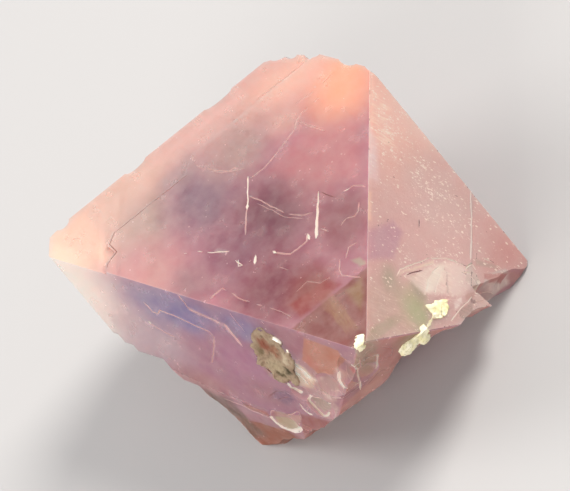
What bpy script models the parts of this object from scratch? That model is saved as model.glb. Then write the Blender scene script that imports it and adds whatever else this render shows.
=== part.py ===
"""Fluorite octahedron: a loose mauve-pink crystal with stepped faces, a broken lower front and scraps of crust.

The crystal lies on the flat break parallel to its top face. Z is up, and the origin is the point of the base
under the growth centre. The front corner points to -Y, and the back edge of the top face runs along X. Sizes
are in millimetres from the growth centre, and are turned into metres where a mesh is made.
"""
import itertools
import math

import bmesh
import bpy
from mathutils import Matrix, Vector, noise

MM = 0.001


def below(level):
    """The space under a level, as (compass direction, rise, least distance that way)."""
    return (0, -1, -level)


def above(level):
    """The space over a level."""
    return (0, 1, level)


def towards(azimuth, distance):
    """The space that is further than a distance in a compass direction."""
    return (azimuth, 0, distance)


# Driving dimensions: distance from the growth centre to each octahedral face, and down to the base
TOP = 14.7
RIGHT = 15.15
LEFT = 15.05
FRONT = 14.7
BACK = 16.0
RIGHT_UNDER = 8.62
LEFT_UNDER = 14.75
BASE = 4.0

# The rise of a side face's normal, the gaps under a lump of crust and around the brown one, and how far a
# cutter reaches
SIDE_RISE = 1 / 3
SEAT_GAP = 0.3
PIT_GAP = 0.36
REACH = 60.0

# Chips and grain: a chip's ball is this many depths in radius, and the grain's waves per millimetre
CHIP_ROUNDNESS = 3
GRAIN_WAVES = 0.45
BIG_BREAK_SEED = 1.0
SMALL_BREAK_SEED = 5
BROWN_SEED = 3.0

# Each octahedral face as its compass direction in degrees from +X, the rise of its normal and its distance
FACES = {
    "top": (0, 1, TOP),
    "right": (-30, SIDE_RISE, RIGHT),
    "left": (210, SIDE_RISE, LEFT),
    "back": (90, SIDE_RISE, BACK),
    "front": (-90, -SIDE_RISE, FRONT),
    "right_under": (30, -SIDE_RISE, RIGHT_UNDER),
    "left_under": (150, -SIDE_RISE, LEFT_UNDER),
    "base": (0, -1, BASE),
}

# Worn corners: blunt planes across the tips of the octahedron
WORN_CORNERS = {
    "left_tip": (98, 0.66, 19.9),
    "right_tip": (-29, -0.46, 17.0),
    "crest_left": (62, 0, 13.85),
    "crest_middle": (42, 0, 14.15),
    "crest_right": (8, 0, 14.65),
}

# Growth ledges: a face is set back to this distance inside the space given
LEDGES = {
    "left_under_first": ("left_under", 14.2, [below(7.1)]),
    "left_under_second": ("left_under", 13.4, [below(6.3)]),
    "left_under_deep": ("left_under", 11.0, [below(5.7)]),
    "left_under_low": ("left_under", 9.6, [below(3.4)]),
    "left_under_behind": ("left_under", 8.7, [below(1.2), towards(120, 7.0)]),
    "right_low": ("right", 14.88, [below(2.85)]),
    "right_under_upper": ("right_under", 8.42, [above(2.85)]),
    "right_under_behind": ("right_under", 7.9, [below(0.8), towards(60, 8.6)]),
    "back_right": ("back", 15.5, [below(8.4), towards(20, -3.0)]),
    "back_low": ("back", 15.0, [below(3.0)]),
    "back_foot": ("back", 14.5, [below(-1.2), towards(160, 2.0)]),
}

# The strip along the back of the top face is one growth step lower
TOP_STEP = 0.32
TOP_STEP_EDGE = [(30, 8.4), (-2.7, 8.4), (-4.2, 7.0), (-12.2, 7.0), (-13.3, 6.3), (-13.0, 5.1), (-14.3, 4.6),
                 (-15.5, 2.6), (-30, 2.6), (-30, 30), (30, 30)]

# The big break under the front: how far it stands from the growth centre along its length, and its hollows
# as place along, place up, radius and depth
BREAK_FACING = (-93.5, -0.656)
BREAK_ALONG = (0.996, 0.018, -0.09)
BREAK_LINE = [(-17, 7.3), (-14.3, 8.3), (-12.1, 9.6), (-10.5, 10.1), (-8.8, 10.3), (-7.5, 10.0), (-5.4, 10.0),
              (-3.7, 10.2), (-2.1, 10.2), (-1.0, 9.7), (0.6, 9.0), (4.7, 9.3), (6.4, 10.0), (9.0, 10.1),
              (10.6, 10.5), (12.1, 10.2), (14.2, 9.4), (17, 8.8)]
BREAK_HOLLOWS = [(-9.5, 4.0, 3.4, 0.8), (-3.0, 12.0, 3.4, 0.7), (3.2, 8.0, 4.6, 1.1), (9.0, 4.5, 3.2, 0.8),
                 (-4.6, 4.6, 3.2, 0.6), (-8.0, 9.8, 2.8, 0.6), (6.5, 12.0, 3.2, 0.6), (0.2, 2.4, 3.0, 0.6)]
BREAK_SPAN = ((-17, 17), (-8, 20))
BREAK_GRAIN = 0.18

# Two smaller breaks, facing (compass direction, rise) at a distance: at the right tip and under the left face
TIP_BREAK = (-74.3, -0.273, 14.0)
TIP_BREAK_HOLLOWS = [(7.9, 1.3, 1.9, 0.4), (5.9, 3.2, 2.0, 0.35), (9.8, 2.6, 2.0, 0.3)]
TIP_BREAK_SPAN = ((5.6, 17.6), (-6, 10))
FOOT_BREAK = (207.6, 0.14, 15.15)
FOOT_BREAK_HOLLOWS = [(-2.5, -2.6, 2.8, 0.25), (1.8, -4.0, 2.6, 0.3), (5.5, -3.0, 2.2, 0.3)]
FOOT_BREAK_SPAN = ((-10, 12), (-12, 10))
SMALL_BREAK_GRAIN = 0.12
BREAK_CELL = 1.0

# Shell-shaped chips: the face or ledge they are in, the place along and up it, their width, height and depth
CHIPS = {
    "foot_shell": ("left", 5.0, -2.7, 3.2, 2.6, 0.45),
    "break_shell": ("left", 10.4, 1.0, 3.2, 2.6, 0.5),
    "upper_shell": ("left", 8.6, 2.0, 2.4, 1.8, 0.35),
    "oval_pit": ("left", 15.6, 6.4, 2.4, 4.4, 0.6),
    "front_shell": ("left", 12.6, 4.4, 2.8, 2.8, 0.4),
    "front_edge_shell": ("front", -1.5, 15.2, 2.6, 3.6, 0.35),
    "crest_notch": ("right_under_upper", -1.9, 18.5, 2.0, 1.2, 0.3),
    "back_edge_notch": ("back", 7.0, 9.6, 1.6, 1.4, 0.3),
    "back_shell": ("back_right", -1.0, 1.4, 3.6, 2.6, 0.5),
    "back_low_shell": ("back_low", 0.0, -3.4, 3.0, 2.4, 0.5),
    "left_under_shell": ("left_under_low", 6.0, 4.0, 3.4, 2.4, 0.5),
    "right_under_shell": ("right_under_upper", 5.4, 9.6, 3.0, 2.4, 0.5),
    "right_under_low_shell": ("right_under", -4.0, 2.6, 3.2, 2.4, 0.5),
}

# Brown crust in its pit on the left face, as an outline along and up that face
BROWN_OUTLINE = [(5.5, 8.8), (6.7, 8.6), (7.9, 8.2), (8.6, 7.6), (9.1, 6.4), (8.9, 5.0), (8.4, 3.8), (7.2, 3.7),
                 (6.1, 4.5), (5.4, 5.4), (4.8, 6.4), (4.9, 7.8)]
BROWN_PIT_DEPTH = 1.1
BROWN_HEIGHT = 2.0
BROWN_TOP = 0.1
BROWN_BUMPS = 0.35
BROWN_BUMP_FINENESS = 2.2
BROWN_TOP_SPAN = ((3, 11), (2, 10))
BROWN_TOP_CELL = 0.5

# Lumps of cream crust: the face they sit on, the middle's place along, up and out of it, and the half sizes
FRONT_CRUST_LUMPS = {
    "front_lump": ("front", (0.3, 20.3, 0.1), (0.7, 0.75, 0.75)),
    "front_side_lump": ("front", (-0.35, 20.2, 0.1), (0.6, 0.6, 0.7)),
    "front_low_lump": ("front", (0.0, 19.6, 0.1), (0.65, 0.8, 0.7)),
}
SIDE_CRUST_LUMPS = {
    "upper_lump": ("right", (-10.7, 1.5, 0.1), (0.95, 1.0, 0.8)),
    "upper_left_lump": ("right", (-11.3, 2.4, 0.05), (0.7, 0.8, 0.7)),
    "upper_low_lump": ("right", (-11.6, 1.2, 0.05), (0.7, 0.7, 0.75)),
    "ribbon_top": ("right", (-12.3, 1.6, 0.0), (0.6, 0.7, 0.7)),
    "ribbon": ("right", (-13.0, 2.2, 0.0), (0.6, 0.6, 0.7)),
    "lower_first_lump": ("front", (4.9, 12.6, 0.1), (0.75, 1.0, 0.7)),
    "lower_wide_lump": ("front", (4.3, 11.6, 0.1), (0.85, 1.2, 0.75)),
    "lower_middle_lump": ("front", (3.4, 12.3, 0.1), (0.75, 1.1, 0.75)),
    "lower_last_lump": ("front", (2.6, 12.8, 0.1), (0.75, 1.0, 0.7)),
    "lower_end_lump": ("front", (1.95, 13.2, 0.0), (0.6, 0.8, 0.6)),
}
LUMP_ROUGHNESS = 0.18
LUMP_SCALE = 1.6

# How far the big break stands from the growth centre under each cream crust
FRONT_CRUST_SEAT = 20.0
SIDE_CRUST_SEAT = 9.7

FLUORITE_COLOUR = (0.71, 0.42, 0.44)
FLUORITE_IOR = 1.434
FLUORITE_ROUGHNESS = 0.2
FLUORITE_TRANSMISSION = 0.6
CRUST_ROUGHNESS = 0.8
BROWN_COLOUR = (0.32, 0.22, 0.12)
CREAM_COLOUR = (0.85, 0.8, 0.6)


def facing(azimuth, rise):
    """Unit vector for a compass direction in degrees from +X and the rise of its slope."""
    level = math.sqrt(max(0.0, 1 - rise * rise))
    angle = math.radians(azimuth)
    return Vector((level * math.cos(angle), level * math.sin(angle), rise))


def plane(azimuth, rise, distance):
    return facing(azimuth, rise), distance


def beyond(azimuth, rise, distance):
    """The plane that bounds the space further out than distance that way."""
    return -facing(azimuth, rise), -distance


def frame_on(normal, along, distance):
    """Frame with Z out of a plane, X along it and Y up it, over the foot of the growth centre."""
    up = normal.cross(along).normalized()
    level = up.cross(normal)
    frame = Matrix((level, up, normal)).transposed().to_4x4()
    frame.translation = normal * distance
    return frame


def face_frame(azimuth, rise, distance):
    normal = facing(azimuth, rise)
    return frame_on(normal, Vector((0, 0, 1)).cross(normal), distance)


def add_object(name, bm, parent):
    """Object from a mesh in millimetres, under the specimen's empty."""
    bmesh.ops.recalc_face_normals(bm, faces=bm.faces)
    bmesh.ops.scale(bm, vec=(MM, MM, MM), verts=bm.verts)
    mesh = bpy.data.meshes.new(name)
    bm.to_mesh(mesh)
    bm.free()
    item = bpy.data.objects.new(name, mesh)
    bpy.context.scene.collection.objects.link(item)
    item.parent = parent
    return item


def make_cutter(item):
    item.hide_render = True
    item.display_type = "WIRE"
    return item


def boolean(target, other, operation):
    modifier = target.modifiers.new(f"{operation.lower()}_{other.name}", "BOOLEAN")
    modifier.operation = operation
    modifier.solver = "EXACT"
    modifier.object = make_cutter(other)


def block_mesh(planes):
    """Convex solid bounded by (normal, distance) planes, closed far out by a box."""
    box = [(Vector(axis) * side, REACH) for axis in ((1, 0, 0), (0, 1, 0), (0, 0, 1)) for side in (1, -1)]
    bounds = planes + box
    bm = bmesh.new()
    for trio in itertools.combinations(bounds, 3):
        normals = Matrix([normal for normal, _ in trio])
        if abs(normals.determinant()) < 1e-5:
            continue
        corner = normals.inverted() @ Vector([distance for _, distance in trio])
        if all(normal.dot(corner) <= distance + 1e-3 for normal, distance in bounds):
            bm.verts.new(corner)
    bmesh.ops.remove_doubles(bm, verts=bm.verts, dist=0.005)
    hull = bmesh.ops.convex_hull(bm, input=bm.verts)
    inner = {item for item in hull["geom_interior"] + hull["geom_unused"] if isinstance(item, bmesh.types.BMVert)}
    bmesh.ops.delete(bm, geom=list(inner), context="VERTS")
    bmesh.ops.dissolve_limit(bm, angle_limit=math.radians(0.5), verts=bm.verts, edges=bm.edges)
    return bm


def relief_mesh(frame, along, up, cell, height):
    """Slab whose inner side is a relief over a grid of cells, and whose outer side is flat and far out."""
    columns = round((along[1] - along[0]) / cell)
    rows = round((up[1] - up[0]) / cell)
    bm = bmesh.new()
    layers = []
    for outer in (False, True):
        layer = []
        for column in range(columns + 1):
            a = along[0] + column * cell
            line = []
            for row in range(rows + 1):
                b = up[0] + row * cell
                line.append(bm.verts.new(frame @ Vector((a, b, REACH / 2 if outer else height(a, b)))))
            layer.append(line)
        layers.append(layer)
    inner, outer = layers
    for c in range(columns):
        for r in range(rows):
            bm.faces.new((inner[c][r], inner[c][r + 1], inner[c + 1][r + 1], inner[c + 1][r]))
            bm.faces.new((outer[c][r], outer[c + 1][r], outer[c + 1][r + 1], outer[c][r + 1]))
    for c in range(columns):
        for r in (0, rows):
            bm.faces.new((inner[c][r], inner[c + 1][r], outer[c + 1][r], outer[c][r]))
    for r in range(rows):
        for c in (0, columns):
            bm.faces.new((inner[c][r], inner[c][r + 1], outer[c][r + 1], outer[c][r]))
    return bm


def prism_mesh(frame, outline, low, high):
    """Solid with an outline in the frame's plane, from low to high along its Z."""
    bm = bmesh.new()
    bottom = [bm.verts.new(frame @ Vector((a, b, low))) for a, b in outline]
    top = [bm.verts.new(frame @ Vector((a, b, high))) for a, b in outline]
    bm.faces.new(bottom)
    bm.faces.new(top)
    for i in range(len(outline)):
        j = (i + 1) % len(outline)
        bm.faces.new((bottom[i], bottom[j], top[j], top[i]))
    return bm


def shell_mesh(frame, across, height, depth):
    """Flattened ball whose underside dips into a face as a shell-shaped chip."""
    radius = CHIP_ROUNDNESS * depth
    spread = 2 * math.sqrt(1 - (1 - depth / radius) ** 2)
    bm = bmesh.new()
    bmesh.ops.create_uvsphere(bm, u_segments=20, v_segments=14, radius=1)
    ball = Matrix.Diagonal((across / spread, height / spread, radius, 1))
    bmesh.ops.transform(bm, matrix=frame @ Matrix.Translation((0, 0, radius - depth)) @ ball, verts=bm.verts)
    return bm


def lump_mesh(frame, half_sizes):
    """Rough ball of crust in a frame on a face."""
    bm = bmesh.new()
    bmesh.ops.create_icosphere(bm, subdivisions=3, radius=1)
    for vert in bm.verts:
        outwards = vert.co.copy()
        vert.co = Vector(half * part for half, part in zip(half_sizes, outwards))
        vert.co += outwards * LUMP_ROUGHNESS * noise.noise((frame @ vert.co) * LUMP_SCALE)
    bmesh.ops.transform(bm, matrix=frame, verts=bm.verts)
    return bm


def along_line(points, place):
    """Value of a line of (place, value) points at a place between them."""
    for (start, low), (end, high) in zip(points, points[1:]):
        if place <= end:
            return low + (high - low) * (place - start) / (end - start)
    return points[-1][1]


def hollow(hollows, a, b):
    """Depth at a place of shell-shaped hollows that meet in sharp ridges."""
    depths = [depth * (1 - ((a - x) ** 2 + (b - y) ** 2) / radius ** 2) for x, y, radius, depth in hollows]
    return max(0.0, *depths)


def grain(a, b, seed):
    """Uneven roughness of a broken surface at a place, from about -1 to 1."""
    return noise.fractal(Vector((a * GRAIN_WAVES, b * GRAIN_WAVES, seed)), 1.0, 2.0, 3)


def surface(name):
    """Compass direction, rise and distance of a face or of a ledge in it."""
    if name in FACES:
        return FACES[name]
    face, distance, _ = LEDGES[name]
    return (*FACES[face][:2], distance)


def cut_faces(crystal, specimen):
    """Growth ledges on the side faces and the lower strip at the back of the top face."""
    for name, (_, _, spaces) in LEDGES.items():
        planes = [beyond(*surface(name))] + [beyond(*space) for space in spaces]
        boolean(crystal, add_object(name, block_mesh(planes), specimen), "DIFFERENCE")
    strip = prism_mesh(Matrix.Translation((0, 0, TOP - TOP_STEP)), TOP_STEP_EDGE, 0, REACH / 2)
    boolean(crystal, add_object("top_strip", strip, specimen), "DIFFERENCE")


def cut_breaks(crystal, specimen):
    """The broken surfaces where the crystal came off its rock."""
    big = frame_on(facing(*BREAK_FACING), Vector(BREAK_ALONG), 0)

    def big_relief(a, b):
        level = along_line(BREAK_LINE, a) - hollow(BREAK_HOLLOWS, a, b)
        return level - BREAK_GRAIN * abs(grain(a, b, BIG_BREAK_SEED))

    slab = relief_mesh(big, *BREAK_SPAN, BREAK_CELL, big_relief)
    boolean(crystal, add_object("front_break", slab, specimen), "DIFFERENCE")
    small_breaks = (("tip_break", TIP_BREAK, TIP_BREAK_HOLLOWS, TIP_BREAK_SPAN),
                    ("foot_break", FOOT_BREAK, FOOT_BREAK_HOLLOWS, FOOT_BREAK_SPAN))
    for seed, (name, place, hollows, span) in enumerate(small_breaks, SMALL_BREAK_SEED):

        def relief(a, b, hollows=hollows, seed=seed):
            return -hollow(hollows, a, b) - SMALL_BREAK_GRAIN * abs(grain(a, b, seed))

        slab = relief_mesh(face_frame(*place), *span, BREAK_CELL, relief)
        boolean(crystal, add_object(name, slab, specimen), "DIFFERENCE")


def cut_chips(crystal, specimen):
    for name, (face, a, b, across, height, depth) in CHIPS.items():
        frame = face_frame(*surface(face)) @ Matrix.Translation((a, b, 0))
        boolean(crystal, add_object(name, shell_mesh(frame, across, height, depth), specimen), "DIFFERENCE")


def grown(outline, extra):
    """The outline moved outwards from its middle by an extra width."""
    middle = sum((Vector(point) for point in outline), Vector((0, 0))) / len(outline)
    return [tuple(middle + (Vector(p) - middle) * (1 + extra / (Vector(p) - middle).length)) for p in outline]


def make_crystal(specimen):
    planes = [plane(*face) for face in FACES.values()] + [plane(*corner) for corner in WORN_CORNERS.values()]
    crystal = add_object("fluorite_crystal", block_mesh(planes), specimen)
    cut_faces(crystal, specimen)
    cut_breaks(crystal, specimen)
    cut_chips(crystal, specimen)
    pit = prism_mesh(face_frame(*FACES["left"]), grown(BROWN_OUTLINE, PIT_GAP), -BROWN_PIT_DEPTH, REACH / 2)
    boolean(crystal, add_object("brown_pit", pit, specimen), "DIFFERENCE")
    return crystal


def make_brown_crust(specimen):
    """Brown crust that fills its pit, with a lumpy top."""
    frame = face_frame(*FACES["left"])
    low = SEAT_GAP - BROWN_PIT_DEPTH
    crust = add_object("brown_crust", prism_mesh(frame, BROWN_OUTLINE, low, BROWN_HEIGHT), specimen)

    def bumps(a, b):
        return BROWN_TOP + BROWN_BUMPS * grain(a * BROWN_BUMP_FINENESS, b * BROWN_BUMP_FINENESS, BROWN_SEED)

    top = relief_mesh(frame, *BROWN_TOP_SPAN, BROWN_TOP_CELL, bumps)
    boolean(crust, add_object("brown_top", top, specimen), "DIFFERENCE")
    return crust


def make_lump_crust(name, lumps, seat_break, specimen):
    """Lumps joined in one crust and hollowed to sit over the crystal's faces."""
    crust = None
    for lump, (face, middle, half_sizes) in lumps.items():
        frame = face_frame(*FACES[face]) @ Matrix.Translation(middle)
        item = add_object(name if crust is None else lump, lump_mesh(frame, half_sizes), specimen)
        if crust is None:
            crust = item
        else:
            boolean(crust, item, "UNION")
    beneath = [FACES[face] for face in ("top", "right", "left", "front")] + [(*BREAK_FACING, seat_break)]
    seat = [plane(azimuth, rise, distance + SEAT_GAP) for azimuth, rise, distance in beneath]
    boolean(crust, add_object(f"{name}_seat", block_mesh(seat), specimen), "DIFFERENCE")
    return crust


def material(name, colour, roughness, transmission=0.0):
    made = bpy.data.materials.new(name)
    made.use_nodes = True
    shader = made.node_tree.nodes["Principled BSDF"]
    shader.inputs["Base Color"].default_value = (*colour, 1)
    shader.inputs["Roughness"].default_value = roughness
    shader.inputs["Metallic"].default_value = 0
    shader.inputs["IOR"].default_value = FLUORITE_IOR
    shader.inputs["Transmission Weight"].default_value = transmission
    made.diffuse_color = (*colour, 1)
    return made


def main():
    for item in list(bpy.data.objects):
        bpy.data.objects.remove(item)
    specimen = bpy.data.objects.new("specimen", None)
    bpy.context.scene.collection.objects.link(specimen)
    specimen.location = (0, 0, BASE * MM)
    fluorite = material("fluorite", FLUORITE_COLOUR, FLUORITE_ROUGHNESS, FLUORITE_TRANSMISSION)
    brown = material("brown_crust", BROWN_COLOUR, CRUST_ROUGHNESS)
    cream = material("cream_crust", CREAM_COLOUR, CRUST_ROUGHNESS)
    make_crystal(specimen).data.materials.append(fluorite)
    make_brown_crust(specimen).data.materials.append(brown)
    for name, lumps, seat in (("cream_crust_front", FRONT_CRUST_LUMPS, FRONT_CRUST_SEAT),
                              ("cream_crust_side", SIDE_CRUST_LUMPS, SIDE_CRUST_SEAT)):
        make_lump_crust(name, lumps, seat, specimen).data.materials.append(cream)


main()
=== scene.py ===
"""Looks of a fluorite octahedron: a hazy mauve-pink crystal with stepped faces and a broken foot, and scraps
of cream and brown crust.

Sizes are in millimetres from the crystal's growth centre, and become metres when a piece is made. A place on
a face is given along it, up it and out of it, over the foot of the growth centre on that face.
"""

import itertools
import math
import random
from collections import namedtuple

import bmesh
import bpy
from mathutils import Matrix, Vector, noise
from mathutils.bvhtree import BVHTree


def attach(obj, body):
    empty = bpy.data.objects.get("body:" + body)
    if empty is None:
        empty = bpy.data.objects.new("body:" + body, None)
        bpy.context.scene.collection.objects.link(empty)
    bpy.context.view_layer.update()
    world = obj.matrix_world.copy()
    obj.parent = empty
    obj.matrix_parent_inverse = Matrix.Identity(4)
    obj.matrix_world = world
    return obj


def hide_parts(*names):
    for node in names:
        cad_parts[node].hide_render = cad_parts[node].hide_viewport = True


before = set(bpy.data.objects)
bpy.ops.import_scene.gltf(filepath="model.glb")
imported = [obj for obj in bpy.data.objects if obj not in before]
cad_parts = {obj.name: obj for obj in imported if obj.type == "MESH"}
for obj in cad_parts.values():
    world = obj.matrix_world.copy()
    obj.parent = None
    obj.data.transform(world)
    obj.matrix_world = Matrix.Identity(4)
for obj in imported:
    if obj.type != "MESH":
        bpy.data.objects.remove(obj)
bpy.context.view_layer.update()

# The flat base lies this deep under the growth centre, which is the origin here
MM = 0.001
BASE_DEPTH = 4.0
TO_ROW = Matrix.Translation((0, 0, BASE_DEPTH * MM)) @ Matrix.Scale(MM, 4)
SIDE_RISE = 1 / 3

# How far cutters reach out of the crystal, when corners and faces count as one, where the skin is probed
# from, and the seed of the chance places
REACH = 60.0
FAR_OUT = 30.0
CUTTER_TOP = 5.0
SAME_POINT = 0.005
FLAT_ANGLE = 0.5
PROBE_HEIGHT = 3.0
SEED = 7

# Cells of the large faces and of the frosted face, and how that face goes in and out
WIDE_CELL = 1.5
FROST_CELL = 0.3
FROST_DEPTH = 0.02
FROST_WAVES = 1.9
FROST_SINK = 0.6
SAME_WAY = 0.999
SLIVER_HEIGHT = 0.06

# What a face of the mesh is: grown, the riser of a step, broken, frosted, worn, a line with a painted
# highlight, or a seam with painted shade in it, which on the dark veins is their own dark colour
GROWN, RISER, BROKEN, FROSTED, WORN, PAINTED_HIGHLIGHT, SHADE_AND_VEIN = range(7)
FINISHES = {"riser": RISER, "broken": BROKEN, "frosted": FROSTED, "worn": WORN, "painted_highlight": PAINTED_HIGHLIGHT,
            "shade_and_vein": SHADE_AND_VEIN}

# Each growth face as its compass direction in degrees from +X and the rise of its normal
FACES = {
    "top": (0, 1),
    "right": (-30, SIDE_RISE),
    "left": (210, SIDE_RISE),
    "back": (90, SIDE_RISE),
    "front": (-90, -SIDE_RISE),
    "right_under": (30, -SIDE_RISE),
    "left_under": (150, -SIDE_RISE),
    "base": (0, -1),
}
WORN_CORNERS = {
    "left_tip": (98, 0.66),
    "right_tip": (-29, -0.46),
    "crest_left": (62, 0),
    "crest_middle": (42, 0),
    "crest_right": (8, 0),
}

# How far each long edge is worn down
WORN_EDGES = {
    ("top", "right"): 0.004,
    ("top", "left"): 0.01,
    ("top", "back"): 0.06,
    ("right", "front"): 0.05,
    ("left", "front"): 0.07,
    ("right", "right_under"): 0.07,
    ("left", "left_under"): 0.07,
    ("left_under", "back"): 0.07,
    ("right_under", "back"): 0.07,
}

# Nicks along the long edges: from and to along the edge, and how many
EDGE_NICKS = {
    ("top", "back"): (-14.0, 9.0, 18),
    ("top", "right"): (-12.0, 13.0, 14),
    ("top", "left"): (-17.0, 15.0, 20),
    ("left", "front"): (-8.0, 6.0, 10),
    ("right", "front"): (-3.0, 14.0, 10),
    ("right", "right_under"): (-11.0, 11.0, 22),
    ("left", "left_under"): (-9.0, 11.0, 16),
}
NICK_WIDTH = (0.25, 1.2)
NICK_HEIGHT = (0.15, 0.5)
NICK_DEPTH = (0.02, 0.10)

# Dips in the rounded crest and along the far edge: the place on the top face, the compass direction, the
# width and the depth
CREST_DIPS = [((8.4, 11.1), 62, 1.3, 0.14), ((9.3, 10.3), 50, 0.9, 0.1), ((10.8, 8.7), 44, 1.4, 0.16),
              ((12.3, 7.3), 40, 1.2, 0.14), ((13.4, 5.7), 28, 1.3, 0.14), ((14.3, 3.3), 12, 1.2, 0.12),
              ((-7.4, 11.7), 95, 1.8, 0.2), ((-15.6, 11.6), 95, 1.2, 0.22), ((2.0, 11.7), 90, 2.4, 0.12)]
CREST_DIP_HEIGHT = 2.2


def below(level):
    """The space under a level, as (compass direction, rise, least distance that way)."""
    return (0, -1, -level)


def above(level):
    """The space over a level."""
    return (0, 1, level)


def towards(azimuth, distance):
    """The space that is further than a distance in a compass direction."""
    return (azimuth, 0, distance)


# Growth ledges: a face is set back to this distance inside the space given
LEDGES = {
    "left_under_first": ("left_under", 14.2, [below(7.1)]),
    "left_under_second": ("left_under", 13.4, [below(6.3)]),
    "left_under_deep": ("left_under", 11.0, [below(5.7)]),
    "left_under_low": ("left_under", 9.6, [below(3.4)]),
    "left_under_behind": ("left_under", 8.7, [below(1.2), towards(120, 7.0)]),
    "right_low": ("right", 14.88, [below(2.85)]),
    "right_under_upper": ("right_under", 8.42, [above(2.85)]),
    "right_under_behind": ("right_under", 7.9, [below(0.8), towards(60, 8.6)]),
    "back_right": ("back", 15.5, [below(8.4), towards(20, -3.0)]),
    "back_low": ("back", 15.0, [below(3.0)]),
    "back_foot": ("back", 14.5, [below(-1.2), towards(160, 2.0)]),
}

# The lowered strip along the back of the top face: how deep it lies, how wide its sloping riser is, how far
# the riser runs on above the face as a share of both, and its outline
STRIP_DEPTH = 0.32
STRIP_SLOPE = 0.04
STRIP_LIP = 0.2
STRIP_OUTLINE = [(30, 8.4), (-2.7, 8.4), (-4.2, 7.0), (-12.2, 7.0), (-13.3, 6.3), (-13.0, 5.1), (-14.3, 4.6),
                 (-15.5, 2.6), (-30, 2.6), (-30, 30), (30, 30)]

# How a line looks: what its groove is, its width at both ends, its depth, the share of it that is missing,
# and whether it bends smoothly
LineStyle = namedtuple("LineStyle", "finish start_width end_width depth missing curved")
# Bars, rims, dots, white lines and glints carry a painted highlight along them, a near-white coat
LINE_STYLES = {
    "hairline": LineStyle(RISER, 0.05, 0.05, 0.03, 0.15, False),
    "crack": LineStyle(RISER, 0.1, 0.1, 0.06, 0.06, False),
    "step": LineStyle(RISER, 0.14, 0.14, 0.07, 0.0, False),
    "wide step": LineStyle(RISER, 0.45, 0.3, 0.1, 0.0, False),
    "pale step": LineStyle(PAINTED_HIGHLIGHT, 0.1, 0.18, 0.06, 0.1, False),
    "dotted": LineStyle(PAINTED_HIGHLIGHT, 0.08, 0.08, 0.05, 0.42, False),
    "white line": LineStyle(PAINTED_HIGHLIGHT, 0.12, 0.1, 0.06, 0.0, False),
    # Seams carry painted shade along them; the fine seams of the dark veins carry the veins' own dark colour
    "fine seam": LineStyle(SHADE_AND_VEIN, 0.06, 0.06, 0.03, 0.2, False),
    "bar": LineStyle(PAINTED_HIGHLIGHT, 0.1, 0.32, 0.12, 0.0, False),
    "glint": LineStyle(PAINTED_HIGHLIGHT, 0.24, 0.34, 0.1, 0.0, False),
    "seam": LineStyle(SHADE_AND_VEIN, 0.09, 0.09, 0.05, 0.0, False),
    "fine rim": LineStyle(RISER, 0.1, 0.1, 0.06, 0.0, True),
    "rim": LineStyle(PAINTED_HIGHLIGHT, 0.16, 0.24, 0.12, 0.0, True),
    "thick rim": LineStyle(PAINTED_HIGHLIGHT, 0.34, 0.44, 0.14, 0.0, True),
    "broad rim": LineStyle(PAINTED_HIGHLIGHT, 0.4, 0.6, 0.2, 0.0, True),
}

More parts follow.
